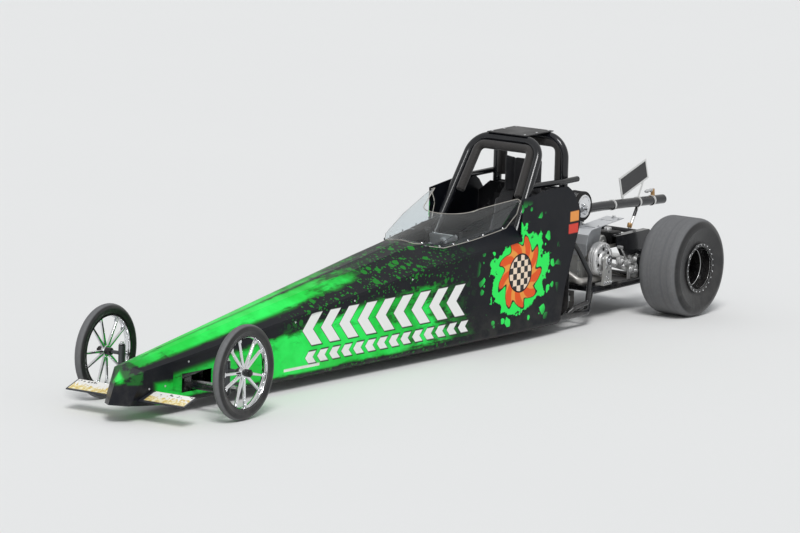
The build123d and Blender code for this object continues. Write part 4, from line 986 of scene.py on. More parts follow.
nodeFinish = {
    "frameGloss": ["frame_front", "frame_cockpit", "frame_rear", "roll_hoop_front", "roll_hoop_rear",
                   "front_axle"],
    "plateBlack": ["roof_plate", "firewall", "dash_panel"],
    "darkSteel": ["knuckle_left", "knuckle_right", "steering_shaft"],
    "castAlloy": ["engine_crankcase", "clutch_support"],
    "engineBlack": ["engine_cylinder"],
    "machined": ["clutch", "rear_sprocket", "rear_axle", "tie_rod"],
    "sheetAlloy": ["clutch_guard"],
    "chrome": ["front_rim_left", "front_rim_right"],
    "satinAlloy": ["air_filter", "steering_wheel", "fuel_tank"],
    "boxPlastic": ["battery_box"],
    "chainSteel": ["drive_chain"],
    "rimBlack": ["rear_rim_left", "rear_rim_right"],
    "burntPipe": ["exhaust_pipe"],
    "sidePaint": ["side_panel_left", "side_panel_right"],
    "slickRubber": ["rear_tyre_left", "rear_tyre_right"],
    "frontRubber": ["front_tyre_left", "front_tyre_right"],
    "hoodPaint": ["hood"],
    "nosePaint": ["nose_cone"],
    "bellyPaint": ["belly_pan"],
    "screenClear": ["windshield"],
    "foilPrint": ["front_foils"],
    "boardFace": ["number_board"],
    "boomPaint": ["boom_tube"],
    "padFoam": ["cage_pads"],
    "seatCloth": ["seat", "headrest"],
}


def dress(node, material):
    # a carried-over part keeps its mesh and takes a better finish
    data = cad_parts[node].data
    if not data.materials:
        data.materials.append(material)
    for index in range(len(data.materials)):
        data.materials[index] = material


for look, nodes in nodeFinish.items():
    for node in nodes:
        dress(node, finish[look])
print("carried-over parts dressed")


# Front wheels: polished ring, five pairs of tapered spokes, hub and tip bolts

frontRim = {
    "centre": Vector((frontWheel.x, 0.360, frontWheel.z)),
    "ringOuter": 0.1617,
    "ringInner": 0.1485,
    "ringHalf": 0.017,
    "spokeRoot": 0.014,
    "spokeTip": 0.1515,
    "spokeWide": 0.0145,
    "spokeThick": 0.010,
    "pairs": 5,
    "firstPair": 62,
    "spread": 13.0,
    "hubRadius": 0.0165,
    "hubHalf": 0.032,
    "flange": 0.0255,
    "tipBolt": (0.0078, 0.0045),
    "boltAt": 0.1405,
    "boltOut": 0.0042,
    "nut": (0.0115, 0.008),
    "nutAt": (frontWheel.x, 0.3925, frontWheel.z),
}


def makeSpoke():
    # one spoke along X: narrower at its tip, with a raised face and a sunk back
    root, tip = frontRim["spokeRoot"], frontRim["spokeTip"]
    thick, wide = frontRim["spokeThick"] / 2, frontRim["spokeWide"] / 2
    spoke = bar("spoke", (root, -thick, -wide), (tip, thick, wide), bevel=0)
    pickFaces(spoke, lambda c, n: n.x > 0.9)
    bpy.ops.transform.resize(value=(1, 0.8, 0.62))
    doneEditing()
    insetFaces(spoke, lambda c, n: n.y > 0.9, 0.0022, (0, 0.0022, 0))
    insetFaces(spoke, lambda c, n: n.y < -0.9, 0.0022, (0, -0.0016, 0))
    return softEdges(spoke, 0.0008, 2)


def makeFrontRim():
    look = frontRim
    centre = look["centre"]
    outer, inner, half = look["ringOuter"], look["ringInner"], look["ringHalf"]
    bead = ringAcross("rimBead", centre + Vector((0, 0.006, 0)), inner + 0.0006, 0.0017, 96, 8)
    ring = spun("rimRing", [(-half, outer), (-half, outer - 0.006), (-half + 0.004, inner + 0.004),
                            (-0.007, inner), (0.007, inner), (half - 0.004, inner + 0.004),
                            (half, outer - 0.006), (half, outer)], centre, 96)
    spoke = makeSpoke()
    bolt = hexBolt("tipBolt", *look["tipBolt"])
    spokes, bolts = [], []
    for pair in range(look["pairs"]):
        for lean in (-look["spread"], look["spread"]):
            angle = look["firstPair"] + pair * 360 / look["pairs"] + lean
            way = circleOf(1, look["boltAt"], angle)[0]
            spokes.append(moved(turned(copied(spoke, "spokeCopy"), "Y", -angle), centre))
            bolts.append((centre + way + Vector((0, look["boltOut"], 0)), (0, 1, 0)))
    bpy.data.objects.remove(spoke)
    heads = scattered(bolt, "rimBolts", bolts)
    radius, wide, wing = look["hubRadius"], look["hubHalf"], look["flange"]
    hub = spun("rimHub", [(-wide, 0.0085), (-wide, radius - 0.003), (-wide + 0.003, radius),
                          (wide - 0.003, radius), (wide, radius - 0.003), (wide, 0.0085)], centre, 48)
    flange = spun("rimFlange", [(-0.009, 0.014), (-0.009, wing - 0.002), (-0.007, wing), (0.007, wing),
                                (0.009, wing - 0.002), (0.011, 0.014)], centre, 48)
    face = spun("rimBand", [(-0.0150, inner + 0.0036), (-0.0072, inner - 0.0004), (0.0072, inner - 0.0004),
                            (0.0150, inner + 0.0036), (0.0070, inner + 0.0004), (-0.0070, inner + 0.0004)],
                centre, 96)
    bright = joined([bead, flange, face, *spokes, heads], "frontRimPolished_left")
    return bright, joined([ring], "frontRimRing_left"), joined([hub], "frontRimHub_left")


def finishFrontWheels():
    names = ("frontRimPolished", "frontRimRing", "frontRimHub")
    left = makeFrontRim()
    right = [mirrored(thing, f"{name}_right") for thing, name in zip(left, names)]
    for side, (bright, ring, hub) in (("left", left), ("right", right)):
        wheel = f"front_wheel_{side}"
        finishPiece([bright], f"{names[0]}_{side}", "chrome", [f"front_rim_{side}"],
                    body=wheel)
        finishPiece([ring], f"{names[1]}_{side}", "rimBlack", body=wheel)
        finishPiece([hub], f"{names[2]}_{side}", "rimBlack", body=wheel)
    nut = leftBolt("axleNut_left", *frontRim["nut"], frontRim["nutAt"])
    for thing, side in ((nut, "left"), (mirrored(nut, "axleNut_right"), "right")):
        finishPiece([thing], f"axleNut_{side}", "engineBlack", body=f"knuckle_{side}")


finishFrontWheels()
print("front wheels done")


# Rear wheels: bright rings in the deep barrel as painted highlights on its steps, flange bolts and studs
# round the hub

rearRim = {
    "centre": Vector((rearAxle.x, 0.385, rearAxle.z)),
    "lipAt": 0.0995,
    # out from the centre and radius of each bright ring, a painted highlight on a barrel step
    "highlightRingSteps": ((0.0475, 0.0885), (0.092, 0.1005), (-0.066, 0.0705)),
    "bolts": (24, 0.1095, 0.0034, 0.004),  # count, circle, head's radius and height
    "studs": (6, 0.050, 0.0085, 0.009),
    "studAt": -0.0990,
}


def makeRearRim():
    look = rearRim
    centre, at = look["centre"], look["lipAt"]
    lip = spun("rearRimLip_left", [(at - 0.005, 0.104), (at - 0.005, 0.1165), (at + 0.001, 0.1178),
                                   (at + 0.003, 0.1165), (at + 0.001, 0.112), (at - 0.002, 0.104)],
               centre, 96)
    # bright rings are painted highlights, where light would glint on the black barrel's steps
    rings = [ringAcross("highlightRing", centre + Vector((0, out, 0)), radius, 0.0018, 96, 8)
             for out, radius in look["highlightRingSteps"]]
    bright = joined(rings, "rearRimHighlightRings_left")
    heads = []
    for name, (count, circle, radius, height), out in (("flangeBolts", look["bolts"], at - 0.001),
                                                       ("hubStuds", look["studs"], look["studAt"])):
        places = [(centre + point + Vector((0, out, 0)), (0, 1, 0)) for point in circleOf(count, circle)]
        heads.append(scattered(hexBolt("rimBolt", radius, height), name, places))
    return lip, bright, joined(heads, "rearRimBolts_left")


def finishRearWheels():
    looks = (("rearRimLip", "rimBlack", "rim_black"), ("rearRimHighlightRings", "machined", "bright_metal"),
             ("rearRimBolts", "chrome", "bright_metal"))
    left = makeRearRim()
    right = [mirrored(thing, f"{look[0]}_right") for thing, look in zip(left, looks)]
    for side, things in (("left", left), ("right", right)):
        for thing, (name, look, slot) in zip(things, looks):
            finishPiece([thing], f"{name}_{side}", look, body="rear_axle_assembly")


finishRearWheels()
print("rear wheels done")


# Soft goods: cage pads, seat, headrest and belts

rearPadLook = {
    "x": ahead(0.715),
    "half": 0.156,
    "top": 0.856,
    "leg": 0.680,
    "bend": 0.08,
    "radius": 0.0235,
}

frontPadLook = {
    "corner": (ahead(0.927), 0.1414, 0.845),
    "end": (ahead(1.053), 0.1573, 0.643),
    "radius": 0.0205,
    "bend": 0.30,
}


def padHose(name, half, radius):
    # foam tube along one half of a hoop and back down the other
    points = half + [Vector((p.x, -p.y, p.z)) for p in reversed(half)]
    roll = hose(name, points, radius, sides=10)
    useModifier(roll, "REMESH", mode="VOXEL", voxel_size=0.005)
    useModifier(roll, "SMOOTH", factor=0.5, iterations=4)
    return smoothed(roll, None)


def rearRollPoints():
    x, half, top, leg = (rearPadLook[key] for key in ("x", "half", "top", "leg"))
    return [Vector(p) for p in ((x, -half, leg), (x, -half, leg + rearPadLook["bend"]), (x, -half, top),
                                (x, -0.05, top))]


def frontRollPoints():
    # up the leg of the raked hoop and in along its top
    corner, end = Vector(frontPadLook["corner"]), Vector(frontPadLook["end"])
    knee = corner.lerp(end, frontPadLook["bend"])
    return [end, corner.lerp(end, 0.6), knee, corner, Vector((corner.x, corner.y * 0.5, corner.z))]


rearPad = padHose("rearHoopPad", rearRollPoints(), rearPadLook["radius"])
finishPiece([rearPad], "rearHoopPad", "padFoam", ["cage_pads"])
frontPad = padHose("frontHoopPad", frontRollPoints(), frontPadLook["radius"])
finishPiece([frontPad], "frontHoopPad", "padFoam", ["cage_pads"])


def puff(thing, voxel, cap, pressure=4.0):
    # swells a closed shape like stuffed cloth
    useModifier(thing, "REMESH", mode="VOXEL", voxel_size=voxel)
    rest = [v.co.copy() for v in thing.data.vertices]
    cloth = thing.modifiers.new("swell", "CLOTH")
    cloth.settings.use_pressure = True
    cloth.settings.uniform_pressure_force = pressure
    cloth.settings.effector_weights.gravity = 0
    for step in range(1, 21):
        bpy.context.scene.frame_set(step)
    pick(thing)
    bpy.ops.object.modifier_apply(modifier="swell")
    for vertex, home in zip(thing.data.vertices, rest):
        step = vertex.co - home
        if step.length > cap:
            vertex.co = home + step * (cap / step.length)
    bpy.context.scene.frame_set(1)
    useModifier(thing, "SMOOTH", factor=0.5, iterations=3)
    return thing


def pressed(thing, lines, deep, wide=0.008):
    # sewn channels: points near a line go in against their normal
    for vertex in thing.data.vertices:
        near = min(abs(line(vertex.co)) for line in lines)
        if near < wide:
            share = 1 - near / wide
            vertex.co -= vertex.normal * deep * share * share * (3 - 2 * share)
    useModifier(thing, "SUBSURF", levels=1, render_levels=1)
    return smoothed(thing, None)


seatShape = {
    "half": 0.152,
    "baseFront": ahead(1.285),
    "baseRear": ahead(0.905),
    "baseLow": 0.056,
    "baseTop": 0.092,
    "backFoot": (ahead(0.945), 0.105),
    "backHead": (ahead(0.797), 0.588),
    "backThick": 0.032,
    "seams": (0.19, 0.29, 0.39, 0.49),
    "seamDeep": 0.006,
    "voxel": 0.006,
    "swell": 0.010,
}


def makeSeat():
    look = seatShape
    half, rear, front = look["half"], look["baseRear"], look["baseFront"]
    base = bar("seatBase", (rear, -half, look["baseLow"]), (front, half, look["baseTop"]), bevel=0.010)
    puff(base, look["voxel"], look["swell"])
    middle = (rear + front) / 2
    pressed(base, [lambda p: p.y - 0.06, lambda p: p.y + 0.06, lambda p: p.x - middle - 0.09,
                   lambda p: p.x - middle + 0.05], look["seamDeep"])
    (footX, footZ), (headX, headZ) = look["backFoot"], look["backHead"]
    back = bar("seatBack", (footX - look["backThick"], -half, footZ), (footX, half, headZ), bevel=0.0)
    openAll(back)
    bpy.ops.mesh.subdivide(number_cuts=5)
    doneEditing()
    for vertex in back.data.vertices:
        share = (vertex.co.z - footZ) / (headZ - footZ)
        vertex.co.x += (headX - footX) * share
        vertex.co.y *= 1 - 0.10 * share * share
    puff(back, look["voxel"], look["swell"])
    pressed(back, [lambda p: abs(p.y) - 0.058] + [lambda p, z=z: p.z - z for z in look["seams"]],
            look["seamDeep"])
    return base, back


seatBase, seatBack = makeSeat()
finishPiece([seatBase], "seatBase", "seatCloth")
finishPiece([seatBack], "seatBack", "seatCloth", ["seat"])


def ribbon(name, path, half, thick, middle=0.0):
    # flat strip across the car that follows (length, height) points
    clearPick()
    bpy.ops.mesh.primitive_grid_add(x_subdivisions=len(path) - 1, y_subdivisions=2, size=1,
                                    location=(0, 0, 0))
    strip = made(name)
    rows = sorted({round(v.co.x, 5) for v in strip.data.vertices})
    for vertex in strip.data.vertices:
        x, z = path[rows.index(round(vertex.co.x, 5))]
        vertex.co = (ahead(x), middle + vertex.co.y * 2 * half, z)
    useModifier(strip, "SOLIDIFY", thickness=thick, offset=0.0)
    return softEdges(strip, thick * 0.3, 2, angle=60)


# folded alloy shell under and behind the cushions
seatShell = {"path": [(1.295, 0.0530), (0.925, 0.0530), (0.900, 0.072), (0.7605, 0.598)], "thick": 0.002,
             "out": 0.162}
shell = ribbon("seatShell", seatShell["path"], seatShell["out"], seatShell["thick"])
finishPiece([shell], "seatShell", "plateBlack")

headPad = {
    "low": spot(0.7665, -0.104, 0.612),
    "high": spot(0.783, 0.104, 0.782),
    "voxel": 0.005,
    "swell": 0.006,
    "seam": 0.045,
    "seamDeep": 0.005,
}
head = bar("headPad", headPad["low"], headPad["high"], bevel=0.009)
puff(head, headPad["voxel"], headPad["swell"])
pressed(head, [lambda p: abs(p.y) - headPad["seam"]], headPad["seamDeep"])
finishPiece([head], "headPad", "seatCloth", ["headrest"])
print("seat and pads done")

beltShape = {
    "shoulder": [(0.712, 0.658), (0.735, 0.653), (0.790, 0.612), (0.826, 0.560), (0.850, 0.470),
                 (0.872, 0.380), (0.895, 0.290), (0.925, 0.205), (0.975, 0.150), (1.020, 0.128)],
    "shoulderHalf": 0.036,
    "shoulderAt": 0.072,
    "meetAt": 0.022,
    "lap": [(0.905, 0.112), (0.945, 0.150), (0.985, 0.148), (1.020, 0.126)],
    "lapOut": (0.150, 0.120, 0.070, 0.020),
    "lapHalf": 0.024,
    "thick": 0.0022,
    "adjusterHalf": 0.040,
    "barHalf": 0.036,
    "buckle": spot(1.035, 0.0, 0.132),
}


def makeBelts():
    look = beltShape
    straps, metal = [], []
    for side in (1, -1):
        at, meet = side * look["shoulderAt"], side * look["meetAt"]
        strap = ribbon("shoulderStrap", look["shoulder"], look["shoulderHalf"], look["thick"], at)
        for vertex in strap.data.vertices:
            share = max(0.0, min(1.0, (0.36 - vertex.co.z) / 0.23))
            vertex.co.y -= (at - meet) * share
            vertex.co.y = meet + (vertex.co.y - meet) * (1 - 0.35 * share)
        belt = ribbon("lapStrap", look["lap"], look["lapHalf"], look["thick"])
        for vertex in belt.data.vertices:
            nearest = min(range(4), key=lambda i: abs(vertex.co.x - ahead(look["lap"][i][0])))
            vertex.co.x += vertex.co.y * 0.4
            vertex.co.y = side * look["lapOut"][nearest] + vertex.co.y * 0.5
        straps += [strap, belt]
        wide, reach = look["adjusterHalf"], look["barHalf"]
        adjuster = bar("adjuster", spot(0.878, at - wide, 0.345), spot(0.890, at + wide, 0.370), 0.002)
        insetFaces(adjuster, lambda c, n: n.x > 0.9, 0.005, (-0.003, 0, 0))
        metal += [adjuster, rod("adjusterBar", spot(0.889, at - reach, 0.3575),
                                spot(0.889, at + reach, 0.3575), 0.003, 12)]
    low = look["buckle"]
    metal += [rod("buckleBody", low - Vector((0, 0, 0.006)), low + Vector((0, 0, 0.010)), 0.030, 40, 0.003),
              bar("buckleLever", low + Vector((-0.010, -0.026, 0.009)), low + Vector((0.010, 0.030, 0.014)),
                  0.002),
              rod("buckleCap", low + Vector((0, 0, 0.010)), low + Vector((0, 0, 0.017)), 0.012, 24, 0.002)]
    finishPiece(straps, "beltWebbing", "beltWeb")
    finishPiece(metal, "beltHardware", "machined")


makeBelts()
print("belts done")


# Steering wheel grips and hub

wheelTop = {
    "hub": spot(1.410, 0.0, 0.470),
    "slope": math.atan2(0.470 - 0.147, 3.313 - 1.410),
    "gripAt": 0.088,
    "gripLong": 0.052,
    "gripRadius": 0.0128,
    "gripLift": 0.0053,
    "ribs": 9,
    "buttonAt": (0.062, 0.020),
    "face": 0.0102,
    "boltCircle": (6, 0.034),
    "bolt": (0.0042, 0.003),
}


def wheelPoint(y, up, out):
    # point in the wheel's own plane: left, up in the plane, and out towards the seat
    slope = wheelTop["slope"]
    normal = Vector((-math.cos(slope), 0, math.sin(slope)))
    rise = Vector((math.sin(slope), 0, math.cos(slope)))
    return wheelTop["hub"] + Vector((0, y, 0)) + rise * up + normal * out


def makeWheelTrim():
    look = wheelTop
    sleeves, metal = [], []
    for side in (1, -1):
        start, end = (wheelPoint(side * look["gripAt"], up, look["gripLift"])
                      for up in (-look["gripLong"], look["gripLong"]))
        sleeves.append(rod("grip", start, end, look["gripRadius"], 24, 0.003))
        way = (end - start).normalized() * 0.0016
        for step in range(look["ribs"]):
            at = start.lerp(end, (step + 0.5) / look["ribs"])
            sleeves.append(rod("gripRib", at - way, at + way, look["gripRadius"] + 0.0009, 24))
        out, up = look["buttonAt"]
        metal.append(rod("thumbButton", wheelPoint(side * out, up, 0.010),
                         wheelPoint(side * out, up, 0.0155), 0.0065, 20, 0.0015))
    metal.append(rod("quickHub", wheelPoint(0, 0, look["face"]), wheelPoint(0, 0, 0.024), 0.024, 40, 0.002))
    metal.append(rod("quickCollar", wheelPoint(0, 0, -0.018), wheelPoint(0, 0, -0.0005), 0.020, 40, 0.002))
    outward = wheelPoint(0, 0, 1) - wheelPoint(0, 0, 0)
    places = [(wheelPoint(p.x, p.z * 0.7, look["face"]), outward) for p in circleOf(*look["boltCircle"])]
    metal.append(scattered(buttonBolt("wheelBolt", *look["bolt"]), "wheelBolts", places))
    finishPiece(sleeves, "wheelGrips", "gripRubber", body="steering_column")
    finishPiece(metal, "wheelHub", "satinAlloy", body="steering_column")


makeWheelTrim()


# Dash: one dial, three switches and a button on the panel's rear face

dashLook = {
    "x": ahead(1.535),
    "dialZ": 0.447,
    "dialRadius": 0.031,
    "marks": 11,
    "switchZ": 0.437,
    "switches": (-0.072, -0.055, 0.055),
    "button": 0.073,
    "screws": [(y, z) for y in (-0.084, 0.084) for z in (0.415, 0.465)],
    "screw": (0.0035, 0.002),
    "white": (0.8, 0.8, 0.78, 1),
}


def makeDash():
    look = dashLook
    face, level, radius = look["x"], look["switchZ"], look["dialRadius"]

    def at(out, y, z):
        return Vector((face - out, y, z))  # out from the panel, towards the seat

    middle = look["dialZ"]
    case = rod("dialCase", at(0, 0, middle), at(0.016, 0, middle), radius, 48, 0.002)
    rim = rod("dialRim", at(0.014, 0, middle), at(0.0185, 0, middle), radius + 0.002, 48, 0.001)
    insetFaces(rim, lambda c, n: n.x < -0.9, 0.0035, (0.003, 0, 0))
    disc = rod("dialFace", at(0.0150, 0, middle), at(0.0162, 0, middle), radius - 0.0025, 48)
    marks = []
    for index in range(look["marks"]):
        angle = math.radians(225 - 27 * index)
        way = Vector((0, -math.cos(angle), math.sin(angle))) * radius
        start = at(0.0164, 0, middle)
        marks.append(rod("dialMark", start + way * 0.70, start + way * 0.86, 0.0006, 6))
    marks.append(rod("dialNeedle", at(0.0168, 0, middle), at(0.0168, 0.012, middle + 0.016), 0.0009, 8,
                     tip=0.0003))
    metal = [rim]
    for y in look["switches"]:
        metal.append(rod("switchNut", at(0, y, level), at(0.004, y, level), 0.0058, 6))
        metal.append(rod("switchLever", at(0.003, y, level), at(0.018, y, level + 0.006), 0.0016, 12,
                         tip=0.0026))
    button = rod("startButton", at(0, look["button"], level), at(0.009, look["button"], level), 0.0085, 24,
                 0.0015)
    places = [(at(0, y, z), (-1, 0, 0)) for y, z in look["screws"]]
    metal.append(scattered(buttonBolt("dashScrew", *look["screw"]), "dashScrews", places))
    finish["markWhite"] = softFinish("markWhite", look["white"], 900.0, 0.0)
    finishPiece([case], "dialCase", "boxPlastic")
    finishPiece([disc], "dialFace", "plateBlack")
    finishPiece(marks, "dialMarks", "markWhite")
    finishPiece(metal, "dashMetal", "chrome")
    finishPiece([button], "startButton", "redWire")


makeDash()
print("dash and wheel done")


# Open engine bay: covers, bolts, filter, head, lines and the brake caliper

engine = {
    "crank": spot(0.355, 0, 0.278),
    "clutchFace": 0.178,
    "clutchRadius": 0.077,
    "clutchBands": (0.1745, 0.164, 0.152),
    "coverCircle": (10, 0.0668),  # count and radius
    "coverBolt": (0.0028, 0.003),  # radius and height, as on each bolt below
    "webCircle": (6, 0.047),
    "webBolt": (0.0050, 0.003),
    "ventTurn": 30,
    "ventRadius": 0.0085,
    "carrierFace": 0.210,
    "carrierFoot": 0.1625,
    "footBolts": (-0.022, -0.004, 0.014, 0.032),
    "webBolts": (-0.017, 0.018),
    "carrierBolt": (0.0052, 0.005),
    "carrierNut": (0.0095, 0.008),
    "pockets": ((-0.004, 0.060, 0.0075), (0.008, 0.036, 0.0060)),  # length, height and radius
    "bayRail": 0.156,
}


def aboutCrank(circle, y, start=0.0):
    # places on a bolt circle that face left
    centre = engine["crank"] + Vector((0, y, 0))
    return [(centre + point, (0, 1, 0)) for point in circleOf(*circle, start)]


def makeClutchTrim():
    crank, face, edge = engine["crank"], engine["clutchFace"], engine["clutchRadius"]
    circle, web = engine["webCircle"], face + 0.0015
    cover = spun("clutchCover", [(-0.002, edge - 0.003), (0.003, edge - 0.003), (0.0055, edge - 0.006),
                                 (0.0055, 0.062), (0.0015, 0.058), (0.0015, 0.036), (0.007, 0.032),
                                 (0.009, 0.027), (0.009, 0.013), (-0.002, 0.013)],
                 crank + Vector((0, face, 0)), 72)
    bands = [ringAcross("clutchBand", crank + Vector((0, y, 0)), edge, 0.0016, 72, 8)
             for y in engine["clutchBands"]]
    rim = aboutCrank(engine["coverCircle"], face + 0.0055)
    bolts = [scattered(hexBolt("coverBolt", *engine["coverBolt"]), "coverBolts", rim),
             scattered(buttonBolt("webBolt", *engine["webBolt"]), "webBolts", aboutCrank(circle, web))]
    # black discs in the cover's vents are painted shade, standing in for the dark inside of the holes
    ventShadeDiscs = [rod("clutchVent", point - Vector((0, 0.001, 0)), point + Vector((0, 0.0004, 0)),
                 engine["ventRadius"], 20) for point, _ in aboutCrank(circle, web, engine["ventTurn"])]
    finishPiece([cover, *bands], "clutchCover", "machined")
    finishPiece(bolts, "clutchBolts", "chrome")
    finishPiece(ventShadeDiscs, "clutchVentShade", "plateBlack")


def makeCarrierTrim():
    # bearing retainer, nut, pocket rims and the row of foot bolts on the clutch carrier
    crank, face, foot = engine["crank"], engine["carrierFace"], engine["carrierFoot"]
    retainer = spun("carrierRetainer", [(-0.001, 0.0245), (0.003, 0.0245), (0.0045, 0.022), (0.0045, 0.015),
                                        (0.001, 0.0135), (-0.001, 0.0135)],
                    crank + Vector((0, face, 0)), 48)
    nut = leftBolt("carrierNut", *engine["carrierNut"], crank + Vector((0, face + 0.0005, 0)))
    places = [(Vector((crank.x + dx, face, foot + 0.012)), (0, 1, 0)) for dx in engine["footBolts"]]
    places += [(Vector((crank.x + dx, face, foot + 0.085)), (0, 1, 0)) for dx in engine["webBolts"]]
    bolts = scattered(hexBolt("carrierBolt", *engine["carrierBolt"]), "carrierBolts", places)
    pockets, rims = [], []
    for dx, dz, radius in engine["pockets"]:
        at = Vector((crank.x + dx, face, foot + dz))
        rims.append(ringAcross("pocketRim", at, radius, 0.0012, 32, 8))
        # each pocket is filled with a flat black disc, painted shade in the recess
        pockets.append(rod("pocket", at - Vector((0, 0.001, 0)), at + Vector((0, 0.0004, 0)), radius, 24))
    finishPiece([retainer, nut, bolts, *rims], "carrierHardware", "chrome")
    finishPiece(pockets, "carrierPocketShade", "plateBlack")


tensioner = {
    "arm": (0.070, 0.330),
    "armFaces": (0.152, 0.159),
    "armLow": (0.176, 0.196),
    "armRise": 0.074,
    "rollers": ((0.193, 0.250, 0.024, 0.184), (0.128, 0.232, 0.018, 0.180), (0.079, 0.192, 0.022, 0.186)),
    "link": ((0.185, 0.311), (0.128, 0.240)),
}


def makeTensioner():
    # arm beside the chain with its rollers, link rod, stud and foot
    look = tensioner
    (rear, front), (inner, outer), (low, high) = look["arm"], look["armFaces"], look["armLow"]
    plate = bar("tensionArm", spot(rear, inner, low), spot(front, outer, high), bevel=0)
    for vertex in plate.data.vertices:
        vertex.co.z += look["armRise"] * (vertex.co.x - ahead(rear)) / (front - rear)
    parts = [softEdges(plate, 0.0022, 2)]
    for x, z, radius, out in look["rollers"]:
        centre, tall = spot(x, outer, z), out - outer
        parts.append(spun("tensionRoller", [
            (0, radius * 0.6), (0.002, radius), (tall * 0.4, radius), (tall * 0.5, radius * 0.78),
            (tall * 0.62, radius * 0.95), (tall * 0.8, radius * 0.95), (tall, radius * 0.6), (tall, 0.003),
            (0, 0.003)], centre, 40))
        parts.append(leftBolt("rollerBolt", radius * 0.34, 0.006, centre + Vector((0, tall, 0))))
    (topX, topZ), (lowX, lowZ) = look["link"]
    parts.append(rod("tensionLink", spot(topX, 0.166, topZ), spot(lowX, 0.166, lowZ), 0.0045, 16, 0.001))
    parts.append(rod("tensionStud", spot(topX, 0.1495, topZ), spot(topX, 0.176, topZ), 0.0075, 6))
    footZ = engine["bayRail"] - 0.010
    parts.append(bar("tensionFoot", spot(0.092, 0.1595, footZ), spot(0.116, 0.166, 0.214)))
    finishPiece(parts, "chainTensioner", "machined")


chain = {
    "rear": spot(0, 0, 0.2285),
    "rearReach": 0.085 + 0.0046,
    "frontReach": 0.036 + 0.0046,
    "pitch": 0.0127,
    "plateRadius": 0.0052,
    "plateThick": 0.0010,
    "plateHalf": 0.0042,
    "middle": 0.128,
    "plateOut": 0.0076,
}


def makeChainLinks():
    # outer plates along the chain's two runs and round its ends
    rear, front = chain["rear"], engine["crank"]
    rearReach, frontReach, pitch = chain["rearReach"], chain["frontReach"], chain["pitch"]
    lean = math.asin((rearReach - frontReach) / (front - rear).length)
    base = math.atan2(front.z - rear.z, front.x - rear.x)
    up, down = base + math.pi / 2 - lean, base - math.pi / 2 + lean
    spots = []

    def rim(centre, reach, angle):
        return centre + Vector((math.cos(angle), 0, math.sin(angle))) * reach

    def arc(centre, reach, start, end):
        count = max(2, round(abs(end - start) * reach / pitch))
        for index in range(count):
            angle = start + (end - start) * (index + 0.5) / count
            spots.append((rim(centre, reach, angle), angle + math.pi / 2))

    def run(start, end):
        way = end - start
        count = round(way.length / pitch)
        for index in range(count):
            spots.append((start.lerp(end, (index + 0.5) / count), math.atan2(way.z, way.x)))

    arc(rear, rearReach, up, down + math.tau)
    run(rim(rear, rearReach, down), rim(front, frontReach, down))
    arc(front, frontReach, down, up)
    run(rim(front, frontReach, up), rim(rear, rearReach, up))
    clearPick()
    bpy.ops.mesh.primitive_cylinder_add(vertices=8, radius=chain["plateRadius"], depth=chain["plateThick"],
                                        rotation=(math.pi / 2, 0, 0))
    plate = settle(made("linkPlate"))
    for vertex in plate.data.vertices:
        vertex.co.x += chain["plateHalf"] if vertex.co.x > 0 else -chain["plateHalf"]
    links = []
    for point, angle in spots:
        for side in (-1, 1):
            twin = turned(copied(plate, "chainPlate"), "Y", -math.degrees(angle))
            links.append(moved(twin, point + Vector((0, chain["middle"] + side * chain["plateOut"], 0))))
    bpy.data.objects.remove(plate)
    finishPiece(links, "chainPlates", "chainSteel")


makeClutchTrim()
makeCarrierTrim()
makeTensioner()
makeChainLinks()
print("clutch and chain done")


filterLook = {
    "at": spot(0.412, 0, 0.522),
    "radius": 0.066,
    "right": 0.042,
    "left": 0.102,
    "pleats": 60,
    "fold": 0.955,
    "nut": (0.0085, 0.008),
}


def makeFilter():
    look = filterLook
    at, r, left, right = look["at"], look["radius"], look["left"], look["right"]
    clearPick()
    bpy.ops.mesh.primitive_cylinder_add(vertices=look["pleats"] * 2, radius=r + 0.0022,
                                        depth=left - right - 0.016, rotation=(math.pi / 2, 0, 0))
    pleats = settle(made("filterPleats"))
    for index, vertex in enumerate(pleats.data.vertices):
        if (index // 2) % 2:
            vertex.co.x *= look["fold"]
            vertex.co.z *= look["fold"]
    moved(pleats, at + Vector((0, (left + right) / 2, 0)))
    pick(pleats)
    bpy.ops.object.shade_flat()
    outer = at + Vector((0, left, 0))
    end = spun("filterCap", [(-0.004, r - 0.012), (0.001, r - 0.012), (0.003, r - 0.014),
                             (0.003, r - 0.019), (0.0005, r - 0.022), (0.003, r - 0.036), (0.004, 0.012),
                             (0.004, 0.003), (-0.004, 0.003)], outer, 72)
    front = spun("filterBand", [(-0.012, r + 0.003), (-0.003, r + 0.003), (0.001, r), (0.001, r - 0.013),
                                (-0.012, r - 0.013)], outer, 72)
    back = spun("filterBack", [(0, r + 0.003), (0.008, r + 0.003), (0.008, 0.020), (0, 0.020)],
                at + Vector((0, right, 0)), 72)
    nut = leftBolt("filterNut", *look["nut"], outer + Vector((0, 0.0035, 0)))
    wings = [rod("filterWing", outer + Vector((s * 0.006, 0.008, s * 0.004)),
                 outer + Vector((s * 0.021, 0.012, s * 0.011)), 0.0036, 12, 0.001, tip=0.0052)
             for s in (-1, 1)]
    finishPiece([front, back], "filterBands", "gripRubber")
    finishPiece([pleats], "filterPleats", "engineBlack")
    finishPiece([end, nut, *wings], "filterMetal", "chrome")


makeFilter()


headLook = {
    "at": spot(0.350, -0.015, 0.4275),
    "half": (0.054, 0.048),
    "finHalf": 0.046,
    "fins": (-0.032, -0.021, -0.010, 0.010, 0.021, 0.032),
    "boltAt": (0.048, 0.042),
    "bolt": (0.0052, 0.005),
}

caseLook = {
    "left": 0.100,
    "right": -0.110,
    "ribs": (0.272, 0.286, 0.424, 0.437),
    "ribLow": 0.186,
    "ribTop": 0.322,
    "bolts": [(x, z) for x in (0.264, 0.444) for z in (0.182, 0.225, 0.275, 0.326)],
    "bolt": (0.0045, 0.004),
    "slots": 16,
    "slotFrom": 0.030,
    "slotTo": 0.056,
    "starter": spot(0.222, 0, 0.330),
}


